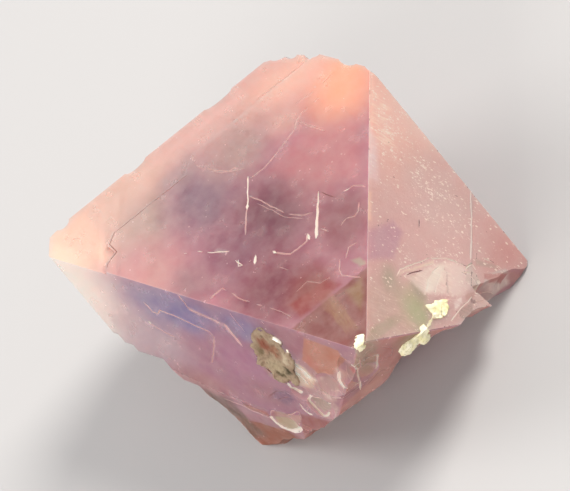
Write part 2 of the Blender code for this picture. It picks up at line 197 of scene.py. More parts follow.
# Cracks, growth lines, bars and rims: the face, the style and the points along them
LINES = {
    "strip_seam": ("top", "seam", [
        (-4.0, 6.85), (-8.0, 6.9), (-12.1, 6.88), (-13.1, 6.2), (-12.9, 5.0), (-14.2, 4.5), (-14.8, 3.9)]),
    "crest_line": ("top", "hairline", [(4.8, 8.9), (8.0, 8.8), (11.0, 8.9)]),
    "crest_low_line": ("top", "hairline", [(7.4, 5.3), (9.3, 5.2), (11.5, 5.4)]),
    "crest_bar": ("top", "crack", [(-2.6, 8.5), (-2.8, 7.9), (-3.1, 7.3)]),
    "left_hairline": ("top", "crack", [(-3.0, 7.3), (-2.4, 6.2), (-1.6, 5.0), (-0.8, 4.1), (0.2, 3.9)]),
    "left_second_hairline": ("top", "hairline", [(-2.2, 5.6), (-1.4, 4.5), (-0.3, 3.7), (0.5, 3.2)]),
    "first_bar": ("top", "white line", [(0.3, 2.2), (-0.1, 1.5), (-0.5, 0.8), (-1.1, -0.3), (-1.3, -0.7)]),
    "first_bar_low": ("top", "step", [(-1.2, -0.5), (-1.6, -1.0), (-1.9, -1.4), (-2.8, -2.9)]),
    "first_bar_knot": ("top", "glint", [(-1.1, -0.2), (-1.35, -0.7)]),
    "plate_dots": ("top", "dotted", [
        (0.4, 1.9), (1.8, 1.8), (3.0, 2.1), (4.5, 2.6), (6.0, 3.1), (6.6, 3.8)]),
    "plate_line": ("top", "crack", [
        (0.5, 1.9), (1.8, 1.8), (3.0, 2.1), (6.0, 3.1), (6.6, 3.8), (7.4, 4.1), (9.3, 4.2)]),
    "right_hairline": ("top", "crack", [(6.7, 3.6), (7.3, 2.2), (8.1, 0.8)]),
    "middle_hairline": ("top", "crack", [
        (-0.6, 0.4), (0.1, -1.0), (0.5, -2.2), (1.2, -3.9), (2.2, -5.2), (3.1, -5.7)]),
    "middle_second_hairline": ("top", "hairline", [(-0.4, -0.9), (0.3, -2.4), (0.9, -4.1), (2.2, -5.6)]),
    "main_bar": ("top", "bar", [(4.6, -4.2), (3.5, -6.0), (2.1, -8.2)]),
    "beside_bar_seam": ("top", "seam", [(4.7, -4.4), (5.0, -5.1), (5.4, -5.9)]),
    "corner_dots": ("top", "dotted", [(6.3, -6.0), (6.6, -6.1), (7.3, -6.2), (7.9, -6.8)]),
    "corner_line": ("top", "crack", [(6.6, -6.1), (7.3, -6.2), (7.9, -6.8), (8.1, -7.2)]),
    "low_dots": ("top", "glint", [(-1.6, -6.3), (-1.45, -6.7)]),
    "low_line": ("top", "step", [
        (-1.5, -6.6), (-1.1, -7.1), (-0.5, -7.8), (0.3, -7.9), (1.3, -7.8), (1.7, -7.2)]),
    "low_glint": ("top", "glint", [(1.7, -7.2), (1.55, -7.9)]),
    "bent_line": ("top", "crack", [
        (2.9, -7.7), (3.3, -8.5), (4.2, -8.9), (5.2, -8.6), (5.9, -9.0), (6.4, -8.8), (6.9, -8.1)]),
    "short_bar": ("top", "glint", [(-3.0, -5.4), (-3.5, -6.2)]),
    "short_dots": ("top", "dotted", [(-4.5, -4.6), (-4.8, -5.2), (-4.4, -5.4)]),
    "left_scratch": ("top", "hairline", [(-5.4, -1.5), (-4.9, -0.5)]),
    "near_edge_line": ("top", "crack", [
        (-8.4, -6.0), (-7.0, -6.0), (-6.8, -6.5), (-6.5, -7.3), (-6.3, -8.1), (-5.6, -9.4), (-4.9, -10.6)]),
    "near_edge_low_line": ("top", "hairline", [(-4.9, -10.6), (-4.3, -11.6), (-3.9, -12.3), (-3.5, -13.5)]),
    "front_bend": ("top", "hairline", [(-2.7, -11.6), (-0.6, -11.4), (0.2, -12.5), (1.2, -12.6)]),
    "corner_bend": ("top", "crack", [(3.0, -11.3), (2.2, -12.6), (2.1, -13.3), (3.3, -14.8)]),
    "corner_high_bend": ("top", "crack", [(3.2, -12.1), (3.9, -11.3), (4.8, -11.5)]),
    "front_glint": ("top", "crack", [(-3.2, -14.7), (-2.6, -14.1)]),
    "front_scratch": ("top", "hairline", [(-1.9, -8.2), (-1.4, -9.1)]),
    "notch_bar": ("top", "step", [(-8.4, -6.1), (-7.6, -6.0), (-7.0, -6.0)]),
    "left_upper_step": ("left", "step", [
        (-7.3, 7.8), (-6.6, 6.8), (-6.0, 6.8), (-5.6, 7.3), (-4.0, 7.2), (-2.0, 6.8), (-0.3, 6.5),
        (0.2, 6.0)]),
    "left_upper_bend": ("left", "step", [(0.2, 6.1), (-0.3, 4.8), (-1.5, 2.3)]),
    "left_lower_glint": ("left", "glint", [(-7.7, 5.4), (-7.5, 5.0)]),
    "left_lower_step": ("left", "crack", [(-7.6, 5.1), (-6.0, 4.5), (-5.0, 4.3)]),
    "left_low_scratch": ("left", "hairline", [(-9.5, 5.0), (-8.0, 4.7)]),
    "pink_band": ("left", "step", [(-2.4, 10.2), (-1.9, 9.3), (-1.7, 8.7), (-0.4, 8.5), (1.7, 8.1)]),
    "pink_band_end": ("left", "wide step", [(2.1, 8.2), (2.7, 7.1), (3.4, 5.9)]),
    "beside_band": ("left", "hairline", [(3.4, 9.9), (3.8, 9.1), (4.4, 8.0)]),
    "left_short_line": ("left", "crack", [(7.1, 10.1), (7.5, 9.3), (7.7, 8.9)]),
    "tip_line": ("left", "hairline", [(-10.9, 9.8), (-10.6, 9.0), (-10.3, 8.1)]),
    "foot_top_line": ("left", "crack", [(-2.0, -2.3), (0.0, -2.4), (1.6, -2.7), (3.3, -2.9)]),
    "foot_seam": ("left", "seam", [(-3.8, -1.2), (0.0, -1.6), (3.4, -1.8)]),
    "shell_top_rim": ("left", "rim", [(9.6, 1.7), (10.6, 1.7), (11.9, 1.9)]),
    "crust_rim": ("left", "broad rim", [(7.8, 8.5), (8.2, 8.2), (8.5, 7.9)]),
    "crust_low_rim": ("left", "thick rim", [(9.0, 7.1), (9.0, 6.6)]),
    "long_rim_top": ("left", "thick rim", [(7.4, 2.9), (7.6, 2.4), (8.0, 1.95), (8.5, 1.9)]),
    "long_rim": ("left", "thick rim", [
        (9.8, 2.0), (9.3, 1.7), (9.1, 1.1), (9.4, 0.5), (9.9, -0.05), (10.5, -0.15), (11.0, 0.3)]),
    "short_rim": ("left", "rim", [(7.9, 0.6), (8.1, 0.0), (8.6, -0.4), (9.0, -0.4)]),
    "foot_rim": ("left", "broad rim", [
        (3.5, -2.5), (3.5, -3.0), (3.9, -3.6), (4.5, -3.85), (5.0, -3.95), (5.7, -3.6), (6.3, -3.2),
        (6.9, -2.6)]),
    "foot_shell_rim": ("left", "fine rim", [
        (3.6, -2.2), (4.0, -1.6), (5.4, -1.6), (6.4, -1.2), (7.3, -0.6), (7.4, -1.5)]),
    "oval_left_rim": ("left", "thick rim", [(14.5, 6.6), (14.1, 5.4), (14.5, 4.4)]),
    "oval_inner_rim": ("left", "fine rim", [(15.1, 7.2), (14.9, 6.2), (15.2, 5.2)]),
    "oval_right_rim": ("left", "thick rim", [
        (15.7, 7.2), (16.6, 7.7), (17.0, 7.2), (16.4, 6.0), (15.6, 4.6)]),
    "oval_outer_rim": ("left", "fine rim", [(17.6, 8.0), (17.3, 6.6), (16.6, 5.3)]),
    "low_rim": ("left", "fine rim", [(12.6, 3.4), (13.2, 3.7), (13.8, 3.6), (14.4, 4.0), (15.2, 4.3)]),
    "low_second_rim": ("left", "fine rim", [(12.4, 2.8), (13.4, 3.1), (14.6, 3.4)]),
    "cloud_crack": ("top", "dotted", [(-8.1, -0.1), (-7.0, -0.9), (-6.0, -2.1), (-4.7, -3.2)]),
    "cloud_crack_end": ("top", "dotted", [(-4.7, -3.4), (-4.7, -4.7), (-4.3, -5.6), (-3.6, -5.5)]),
    "veil_streak": ("left", "thick rim", [(9.6, 5.5), (10.1, 5.0), (10.5, 4.4)]),
    "veil_side_streak": ("left", "rim", [(9.0, 4.7), (9.6, 4.1), (9.9, 3.5)]),
    "dark_vein": ("left", "fine seam", [(4.3, 0.2), (4.9, 0.8), (5.6, 1.3), (6.4, 1.5)]),
    "second_dark_vein": ("left", "fine seam", [(4.9, -0.1), (5.7, 0.4), (6.6, 0.9), (7.4, 1.0)]),
    "third_dark_vein": ("left", "fine seam", [(6.0, 2.4), (6.9, 1.8), (7.6, 1.6)]),
    "crust_side_line": ("left", "rim", [(9.1, 6.0), (9.5, 5.4), (10.0, 5.3)]),
    "veil_low_streak": ("left", "fine rim", [(10.0, 4.1), (10.6, 3.4), (10.8, 3.1)]),
    "tip_ring": ("top", "fine rim", [(-16.2, 9.2), (-15.6, 9.6), (-15.1, 9.2), (-15.2, 8.5)]),
    "veil_edge": ("right", "white line", [
        (-9.7, 6.8), (-8.9, 6.4), (-8.2, 5.6), (-7.6, 4.8), (-7.0, 3.9), (-6.2, 2.9)]),
    "veil_edge_low": ("right", "white line", [(-6.1, 2.7), (-5.8, 1.9), (-5.3, 0.9), (-5.1, 0.0)]),
    "veil_inner_edge": ("right", "dotted", [(-9.3, 5.9), (-8.4, 4.9), (-7.3, 3.6), (-6.5, 2.4)]),
    "veil_fan_top": ("right", "white line", [(-9.7, 3.2), (-8.6, 3.1), (-7.4, 2.5), (-6.4, 1.6)]),
    "veil_fan_low": ("right", "white line", [(-9.4, 2.2), (-8.2, 1.9), (-7.0, 1.5), (-6.2, 1.1)]),
    "veil_fold_line": ("right", "hairline", [(-9.1, 0.9), (-8.2, 1.0), (-7.2, 0.8), (-6.4, 0.9)]),
    "veil_right_rim": ("right", "rim", [(-5.4, -1.5), (-4.9, -1.8), (-4.4, -2.5), (-4.7, -3.0)]),
    "veil_inner_rim": ("right", "white line", [(-5.9, -0.9), (-5.6, -1.9), (-5.7, -2.7), (-6.4, -3.2)]),
    "veil_low_rim": ("right", "thick rim", [(-7.1, -2.9), (-6.6, -3.3), (-6.1, -3.4), (-5.6, -3.3)]),
    "break_edge_line": ("right", "white line", [
        (-11.4, 0.3), (-10.2, -0.5), (-9.2, -1.2), (-8.5, -1.8), (-7.4, -2.5)]),
    "break_edge_second": ("right", "hairline", [(-11.2, -0.5), (-10.0, -1.2), (-9.1, -2.0), (-8.6, -2.8)]),
    "tip_shell_line": ("right", "white line", [(-6.2, -4.4), (-5.6, -4.9), (-5.0, -5.9), (-4.5, -7.0)]),
    "tip_shell_second": ("right", "hairline", [(-5.3, -4.4), (-4.6, -5.6), (-4.1, -6.8)]),
    "veil_seam": ("right", "seam", [(-9.1, 5.7), (-8.4, 4.7), (-7.8, 3.7)]),
    "veil_sparkle": ("right", "white line", [(-5.9, 2.1), (-5.4, 1.1), (-5.2, 0.0), (-5.1, -1.2)]),
    "right_ledge_line": ("right", "pale step", [(2.9, -2.1), (-0.4, -2.2), (-4.2, -2.1)]),
    "tip_pale_line": ("right", "crack", [(-8.0, -3.1), (-7.2, -4.1), (-6.5, -5.2)]),
    "tip_glints": ("right", "dotted", [(-3.1, -3.8), (-3.0, -5.0), (-3.15, -6.2), (-2.8, -7.0)]),
    "right_mark": ("right", "seam", [(-3.7, 4.15), (-2.8, 4.15)]),
    "violet_corner_line": ("right", "hairline", [(-6.4, 10.0), (-5.3, 8.7), (-3.9, 7.2)]),
    "front_crease": ("front", "seam", [(-2.3, 12.5), (-0.8, 13.2), (-0.1, 12.8)]),
    "front_glints": ("front", "dotted", [(1.4, 21.7), (1.2, 19.8), (1.3, 19.0), (1.9, 18.4)]),
    "front_streak": ("front", "rim", [(-2.0, 18.2), (-1.7, 16.8), (-2.1, 15.4), (-3.0, 12.6)]),
    "front_second_streak": ("front", "fine rim", [(-0.9, 18.8), (-1.4, 17.0), (-2.3, 14.6)]),
}

# How a line is cut: the steps between the points of a smooth one, its width at its ends as a share, how
# uneven its width is, how far apart its points are, how far they waver, the waves of its wavering, its gaps
# and its width in a millimetre, and how far its groove flares and stands over the skin
RIM_STEPS = 4
LINE_END_SHARE = 0.35
LINE_UNEVEN = 0.35
LINE_STEP = 0.3
LINE_WAVER = 0.03
WAVER_WAVES = 1.7
GAP_WAVES = 1.1
UNEVEN_WAVES = 3
LINE_FLARE = 1.3
LINE_LIFT = 0.3

# The big break under the front: its compass direction and rise, which way its length runs, how far it stands
# from the growth centre along its length, its hollows as place along, place up, radius and depth, and how far
# it runs along and up
BREAK_FACING = (-93.5, -0.656)
BREAK_ALONG = (0.996, 0.018, -0.09)
BREAK_LINE = [(-17, 7.3), (-14.3, 8.3), (-12.1, 9.6), (-10.5, 10.1), (-8.8, 10.3), (-7.5, 10.0), (-5.4, 10.0),
              (-3.7, 10.2), (-2.1, 10.2), (-1.0, 9.7), (0.6, 9.0), (4.7, 9.3), (6.4, 10.0), (9.0, 10.1),
              (10.6, 10.5), (12.1, 10.2), (14.2, 9.4), (17, 8.8)]
BREAK_HOLLOWS = [(-9.5, 4.0, 3.4, 0.8), (-3.0, 12.0, 3.4, 0.7), (3.2, 8.0, 4.6, 1.1), (9.0, 4.5, 3.2, 0.8),
                 (-4.6, 4.6, 3.2, 0.6), (-8.0, 9.8, 2.8, 0.6), (6.5, 12.0, 3.2, 0.6), (0.2, 2.4, 3.0, 0.6)]
BREAK_SPAN = ((-17, 17), (-8, 20))
BREAK_GRAIN = 0.18
BREAK_CELL = 0.3

# Two smaller breaks at the right tip and under the left face: the compass direction, rise and distance, the
# hollows, and how far they run along and up
TIP_BREAK = (-74.3, -0.273, 14.0)
TIP_BREAK_HOLLOWS = [(7.9, 1.3, 1.9, 0.4), (5.9, 3.2, 2.0, 0.35), (9.8, 2.6, 2.0, 0.3)]
TIP_BREAK_SPAN = ((5.6, 17.6), (-6, 10))
FOOT_BREAK = (207.6, 0.14, 15.15)
FOOT_BREAK_HOLLOWS = [(-2.5, -2.6, 2.8, 0.25), (1.8, -4.0, 2.6, 0.3), (5.5, -3.0, 2.2, 0.3)]
FOOT_BREAK_SPAN = ((-10, 12), (-12, 10))
SMALL_BREAK_GRAIN = 0.07

# How deep the fine terraces of the breaks are
SPLINTERS = 0.16
SMALL_SPLINTERS = 0.08

# How deep the ball of a chip is against the chip, and how uneven it is
SHELL_CURVE = 3
SHELL_UNEVEN = 0.05
SHELL_WAVES = 3

# Shell-shaped chips: the face or ledge they are in, the place along and up it, their width, height and depth
CHIPS = {
    "foot_shell": ("left", 5.0, -2.7, 3.2, 2.6, 0.45),
    "break_shell": ("left", 10.4, 1.0, 3.2, 2.6, 0.5),
    "upper_shell": ("left", 8.6, 2.0, 2.4, 1.8, 0.35),
    "oval_pit": ("left", 15.6, 6.4, 2.4, 4.4, 0.6),
    "front_shell": ("left", 12.6, 4.4, 2.8, 2.8, 0.4),
    "front_edge_shell": ("front", -1.5, 15.2, 2.6, 3.6, 0.35),
    "crest_notch": ("right_under_upper", -1.9, 18.5, 2.0, 1.2, 0.3),
    "back_edge_notch": ("back", 7.0, 9.6, 1.6, 1.4, 0.3),
    "back_shell": ("back_right", -1.0, 1.4, 3.6, 2.6, 0.5),
    "back_low_shell": ("back_low", 0.0, -3.4, 3.0, 2.4, 0.5),
    "left_under_shell": ("left_under_low", 6.0, 4.0, 3.4, 2.4, 0.5),
    "right_under_shell": ("right_under_upper", 5.4, 9.6, 3.0, 2.4, 0.5),
    "right_under_low_shell": ("right_under", -4.0, 2.6, 3.2, 2.4, 0.5),
}

# Brown crust in its pit on the left face, as an outline along and up that face
BROWN_OUTLINE = [(6.2, 8.3), (7.2, 8.2), (7.7, 7.8), (7.9, 7.0), (8.5, 6.6), (8.7, 5.6), (8.5, 4.4),
                 (7.7, 3.5), (6.6, 3.4), (5.6, 4.0), (5.0, 5.3), (5.2, 6.6), (5.6, 7.7)]
# How deep its pit is, how far the pit stands clear of it, how far it spreads over the rim of the pit, its
# knobs with painted glints as place along, up and out of the face and radius, its top level and how ragged
# its edge is
BROWN_PIT_DEPTH = 1.1
BROWN_PIT_GAP = 0.36
BROWN_OVERLAP = 0.62
BROWN_KNOBS = [(7.9, 8.4, 0.02, 0.26), (8.25, 8.2, 0.0, 0.22), (8.5, 7.9, 0.0, 0.18), (8.9, 7.2, 0.0, 0.2)]
BROWN_TOP = 0.06
BROWN_RAGGED = 0.7
BROWN_STEP = 0.4
BROWN_CELL = 0.1

# Cream crusts. A slab has a face, an outline along and up it, and its lowest and highest level there; a lump
# has a face, its middle along, up and out of it, and its half sizes
FRONT_CRUST_SLABS = [
    ("top", [(0.1, -19.5), (0.8, -19.9), (0.6, -20.4), (0.0, -20.9), (-0.5, -20.8), (-0.45, -20.2)],
     -0.5, 0.03),
    ("front", [(-0.5, 21.2), (0.3, 21.2), (0.1, 20.8), (-0.3, 20.7)], -0.3, 0.05),
]
FRONT_CRUST_LUMPS = [
    ("top", (0.35, -20.1, -0.12), (0.28, 0.3, 0.25)),
    ("top", (-0.2, -20.5, -0.15), (0.25, 0.3, 0.3)),
]
SIDE_CRUST_SLABS = [
    ("right", [(-11.2, 3.5), (-10.6, 2.5), (-10.1, 1.8), (-9.6, 1.3), (-9.6, 0.7), (-10.3, 0.6), (-11.1, 0.9),
               (-11.6, 1.4), (-12.1, 2.3), (-11.7, 2.5)], -0.3, 0.12),
    ("front", [(6.3, 15.6), (6.1, 15.7), (4.9, 14.4), (5.1, 14.2)], -0.14, 0.0),
    ("front", [(1.7, 14.2), (2.4, 14.8), (4.9, 14.3), (4.7, 13.4), (4.2, 12.7), (1.8, 12.8)], -0.5, 0.12),
]
SIDE_CRUST_LUMPS = [
    ("right", (-10.7, 1.8, -0.1), (0.8, 0.6, 0.3)),
    ("right", (-11.2, 2.7, -0.1), (0.25, 0.4, 0.2)),
    ("front", (4.0, 12.8, -0.1), (0.6, 1.0, 0.46)),
    ("front", (2.7, 13.5, -0.1), (0.9, 1.1, 0.42)),
    ("front", (2.2, 13.2, -0.1), (0.6, 0.9, 0.42)),
]
CRUST_CELL = 0.08

# How deep the skins of the crusts are roughened, and how many bumps there are in a millimetre
CREAM_CRUMBS = (0.11, 2.6)
BROWN_CRUMBS = (0.16, 1.6)

# Soft colour zones in the crystal, painted in this order: the face they lie under, the place along and up it,
# the half sizes along, up and down into the crystal, the display colour and the strength
COLOUR_ZONES = {
    "crest": ("top", (-2.0, 11.0), (24, 8.0, 9.0), "d8b0a6", 1.0),
    "strip_warm": ("top", (-9.5, 10.0), (7.0, 5.0, 6.0), "dcbcaa", 0.8),
    "grey_shoulder": ("top", (-9.8, 5.6), (5.5, 5.0, 6.0), "b8a298", 1.0),
    "pink_shoulder": ("top", (-11.5, 0.5), (5.0, 5.5, 5.0), "cc9c98", 1.0),
    "grey_lilac": ("top", (-4.2, 3.6), (5.5, 7.0, 6.0), "8a727e", 1.0),
    "grey_back": ("top", (1.2, 5.6), (5.5, 4.5, 5.0), "b0948e", 0.9),
    "mauve_heart": ("top", (0.2, -3.0), (6.5, 7.0, 6.0), "7e545e", 1.0),
    "violet_left": ("top", (-4.5, -3.5), (4.5, 4.5, 5.0), "8a5f6e", 0.9),
    "rose_front": ("top", (-3.5, -9.5), (6.0, 6.0, 6.0), "844e58", 1.0),
    "red_front": ("top", (-0.8, -12.6), (4.0, 3.5, 4.0), "90544e", 1.0),
    "salmon": ("top", (6.6, -1.8), (6.0, 6.0, 6.0), "b68082", 1.0),
    # Painted glow: warm light through the thin crest, as peach
    "peach_crest_glow": ("top", (11.5, 4.0), (6.0, 6.5, 7.0), "f8b494", 1.0),
    "peach_back": ("top", (8.0, 8.5), (8.0, 5.0, 6.0), "ecbcaa", 1.0),
    "low_shoulder": ("top", (-9.2, -3.4), (3.6, 3.0, 4.0), "a07c80", 0.8),
    "strip_middle": ("top", (-4.7, 7.6), (3.2, 2.4, 4.0), "a48e8e", 0.7),
    "strip_back": ("top", (5.7, 4.4), (3.0, 2.4, 4.0), "e0b4a2", 0.6),
    "lower_right": ("top", (4.8, -8.8), (4.5, 4.5, 5.0), "905e62", 0.9),
    # Painted glow: the thin left tip lit through, as pale cream
    "cream_tip_glow": ("left", (-16.5, 8.5), (9.0, 9.5, 9.0), "ffdec6", 1.0),
}

# Soft colour zones that show on one face alone, in the same form
FACE_ZONES = {
    "right_whole": ("right", (-2.0, 5.0), (90, 90, 9.0), "d6aca2", 0.9),
    "right_crest": ("right", (6.0, 9.0), (10.0, 9.0, 5.0), "f2bca8", 1.0),
    "right_edge": ("right", (7.0, 4.5), (3.5, 9.0, 5.0), "f0c4b4", 0.9),
    "right_middle": ("right", (-0.5, 2.0), (7.0, 6.0, 5.0), "d0b0a6", 0.9),
    "right_low_corner": ("right", (-1.5, -7.0), (6.0, 5.0, 5.0), "c68c84", 1.0),
    "right_left": ("right", (-13.5, 7.5), (5.0, 5.0, 5.0), "c2a090", 1.0),
    "left_whole": ("left", (2.0, 2.0), (90, 90, 9.0), "9c7284", 0.9),
    # Painted glow of the thin left tip lit through, as pale cream
    "left_cream_glow": ("left", (-17.0, 6.5), (11.5, 14.0, 9.0), "fff4e8", 1.0),
    "left_haze": ("left", (-8.0, 3.0), (6.0, 5.0, 5.0), "baa6ac", 1.0),
    # The face's own lilac, with a painted bluish reflection laid in
    "lilac": ("left", (-5.2, 8.0), (7.0, 4.5, 5.0), "968ca6", 1.0),
    "blue_lilac_and_reflection": ("left", (-2.2, 8.0), (5.5, 3.2, 4.0), "746c9a", 1.0),
    "violet": ("left", (4.0, 8.8), (5.0, 3.0, 4.0), "86749a", 0.9),
    "orchid": ("left", (2.5, 4.0), (4.5, 4.5, 4.0), "a4708a", 1.0),
    "left_rose": ("left", (8.5, 8.5), (3.5, 3.5, 4.0), "a06c7a", 0.9),
    "left_corner_rose": ("left", (14.0, 4.0), (7.5, 8.0, 6.0), "b48a84", 1.0),
    "left_corner_pale": ("left", (11.5, 1.5), (4.0, 3.0, 4.0), "b89c98", 0.8),
    "dusky_low": ("left", (4.5, 0.6), (4.5, 2.5, 4.0), "946470", 0.9),
    "low_edge": ("left", (-4.0, -0.8), (6.0, 2.2, 4.0), "a47878", 0.9),
    "front_whole": ("front", (2.0, 14.0), (90, 90, 9.0), "c88e7c", 0.9),
    "front_red": ("front", (1.0, 15.5), (2.6, 4.5, 4.0), "bc7468", 1.0),
    "front_olive": ("front", (3.2, 14.8), (1.8, 3.5, 4.0), "a0845e", 1.0),
    "front_streaked": ("front", (-1.2, 16.5), (1.3, 5.5, 4.0), "a48c70", 0.9),
    "green_stain": ("right", (-12.0, 4.6), (3.2, 2.6, 4.0), "a4b07a", 1.0),
    "green_stain_high": ("right", (-10.4, 7.4), (2.2, 2.0, 3.0), "a09c7c", 0.8),
    "green_stain_low": ("right", (-9.8, 4.2), (2.0, 1.4, 3.0), "949070", 0.9),
}

# Soft colour zones on every surface near a place, laid over the zones and panels of the faces
BREAK_ZONES = {
    # Brown of the foot, deepened with painted shade
    "brown_foot_and_shade": ("left", (3.0, -8.6), (15.0, 6.4, 16.0), "7c3a24", 1.0),
    "pale_tip_shells": ("right", (-9.0, -4.4), (5.0, 3.4, 6.0), "c8a89c", 0.9),
}

# Flat colour panels seen in the crystal through one face: the face, the corners of the panel, how soft its
# edges are, the display colour, the strength, and how much of it is broken up into streaks
PANELS = {
    # Painted glow of the left tip lit through, as pale cream
    "cream_corner_glow": ("top", [(-18, 11.6), (-12.4, 11.8), (-13.0, 7.0), (-13.1, 5.0), (-14.7, 4.4)],
        1.2, "f6ceb8", 0.8, 0.0),
    "salmon_plate": ("top", [(0.6, 1.7), (6.3, 3.2), (12.0, -0.2), (8.2, -6.8), (4.7, -4.2)],
        1.4, "c88688", 0.45, 0.0),
    "dark_corner": ("top", [(4.8, -4.6), (8.2, -7.0), (6.0, -10.6), (2.6, -11.0), (2.4, -8.2)],
        0.8, "986a70", 0.5, 0.0),
    "red_wedge": ("top", [(-3.4, -11.9), (0.9, -12.4), (2.0, -14.25), (-3.0, -14.35)],
        0.5, "a0544e", 0.6, 0.0),
    "front_wedge": ("top", [(-4.8, -14.35), (4.6, -14.25), (3.4, -17.0), (0.4, -21.6), (-2.8, -18.6)],
        0.25, "8c5c54", 0.9, 0.0),
    "front_dark": ("top", [(-4.0, -15.0), (-2.0, -15.2), (-0.6, -17.4), (-1.9, -18.3)],
        0.5, "8c5a58", 0.45, 0.0),
    "front_olive_patch": ("top", [(1.2, -14.6), (3.8, -14.6), (3.0, -16.6), (1.4, -18.4)],
        0.7, "a08c66", 0.6, 0.0),
    "corner_patch": ("top", [(3.2, -12.3), (4.4, -12.9), (4.6, -14.2), (3.7, -13.9)],
        0.35, "b8aa98", 0.9, 0.0),
    "left_smudge": ("top", [(-6.1, -1.9), (-5.4, -1.9), (-4.5, -3.2), (-5.0, -3.5)],
        0.35, "b0a6a6", 0.8, 0.3),
    "violet_corner": ("right", [(-10.2, 10.6), (-6.4, 10.6), (-3.9, 7.3), (-4.8, 5.6), (-8.4, 6.9)],
        0.8, "bc8a98", 0.9, 0.0),
    "edge_peach": ("right", [(-6.2, 10.6), (-2.3, 10.6), (-2.4, 9.6), (-5.6, 9.6)],
        0.6, "f0c4a6", 0.9, 0.0),
    "edge_pale": ("right", [(-1.9, 11.0), (5.0, 10.6), (3.2, 8.8), (-1.6, 8.6)],
        0.9, "ead2d0", 0.9, 0.3),
    "crest_streaks": ("right", [(1.5, 10.6), (9.5, 10.6), (7.5, 7.2), (2.5, 6.2)],
        1.5, "ffe4cc", 0.8, 0.9),
    "beige_streaks": ("right", [(-17.0, 10.2), (-11.2, 10.2), (-10.8, 7.0), (-13.5, 3.4), (-16.5, 6.0)],
        1.0, "dcc2ae", 0.6, 0.8),
    "pink_ribbon": ("left", [(-1.9, 9.1), (-1.7, 8.4), (2.0, 7.7), (2.3, 8.3)],
        0.15, "b48c9a", 0.9, 0.0),
    "beside_ribbon": ("left", [(2.4, 9.6), (6.2, 9.6), (5.0, 6.6), (3.6, 6.2)],
        0.8, "8c7ea0", 0.7, 0.0),
    "front_lobe": ("front", [(-3.4, 12.2), (-1.0, 12.4), (-0.4, 11.8), (-1.8, 10.0), (-3.0, 11.0)],
        0.4, "cc9a88", 0.8, 0.0),
    "front_veins": ("front", [(-2.0, 20.5), (0.2, 20.5), (-0.6, 16.0), (-3.0, 12.6), (-3.4, 13.4)],
        0.5, "cbb898", 0.8, 0.85),
}

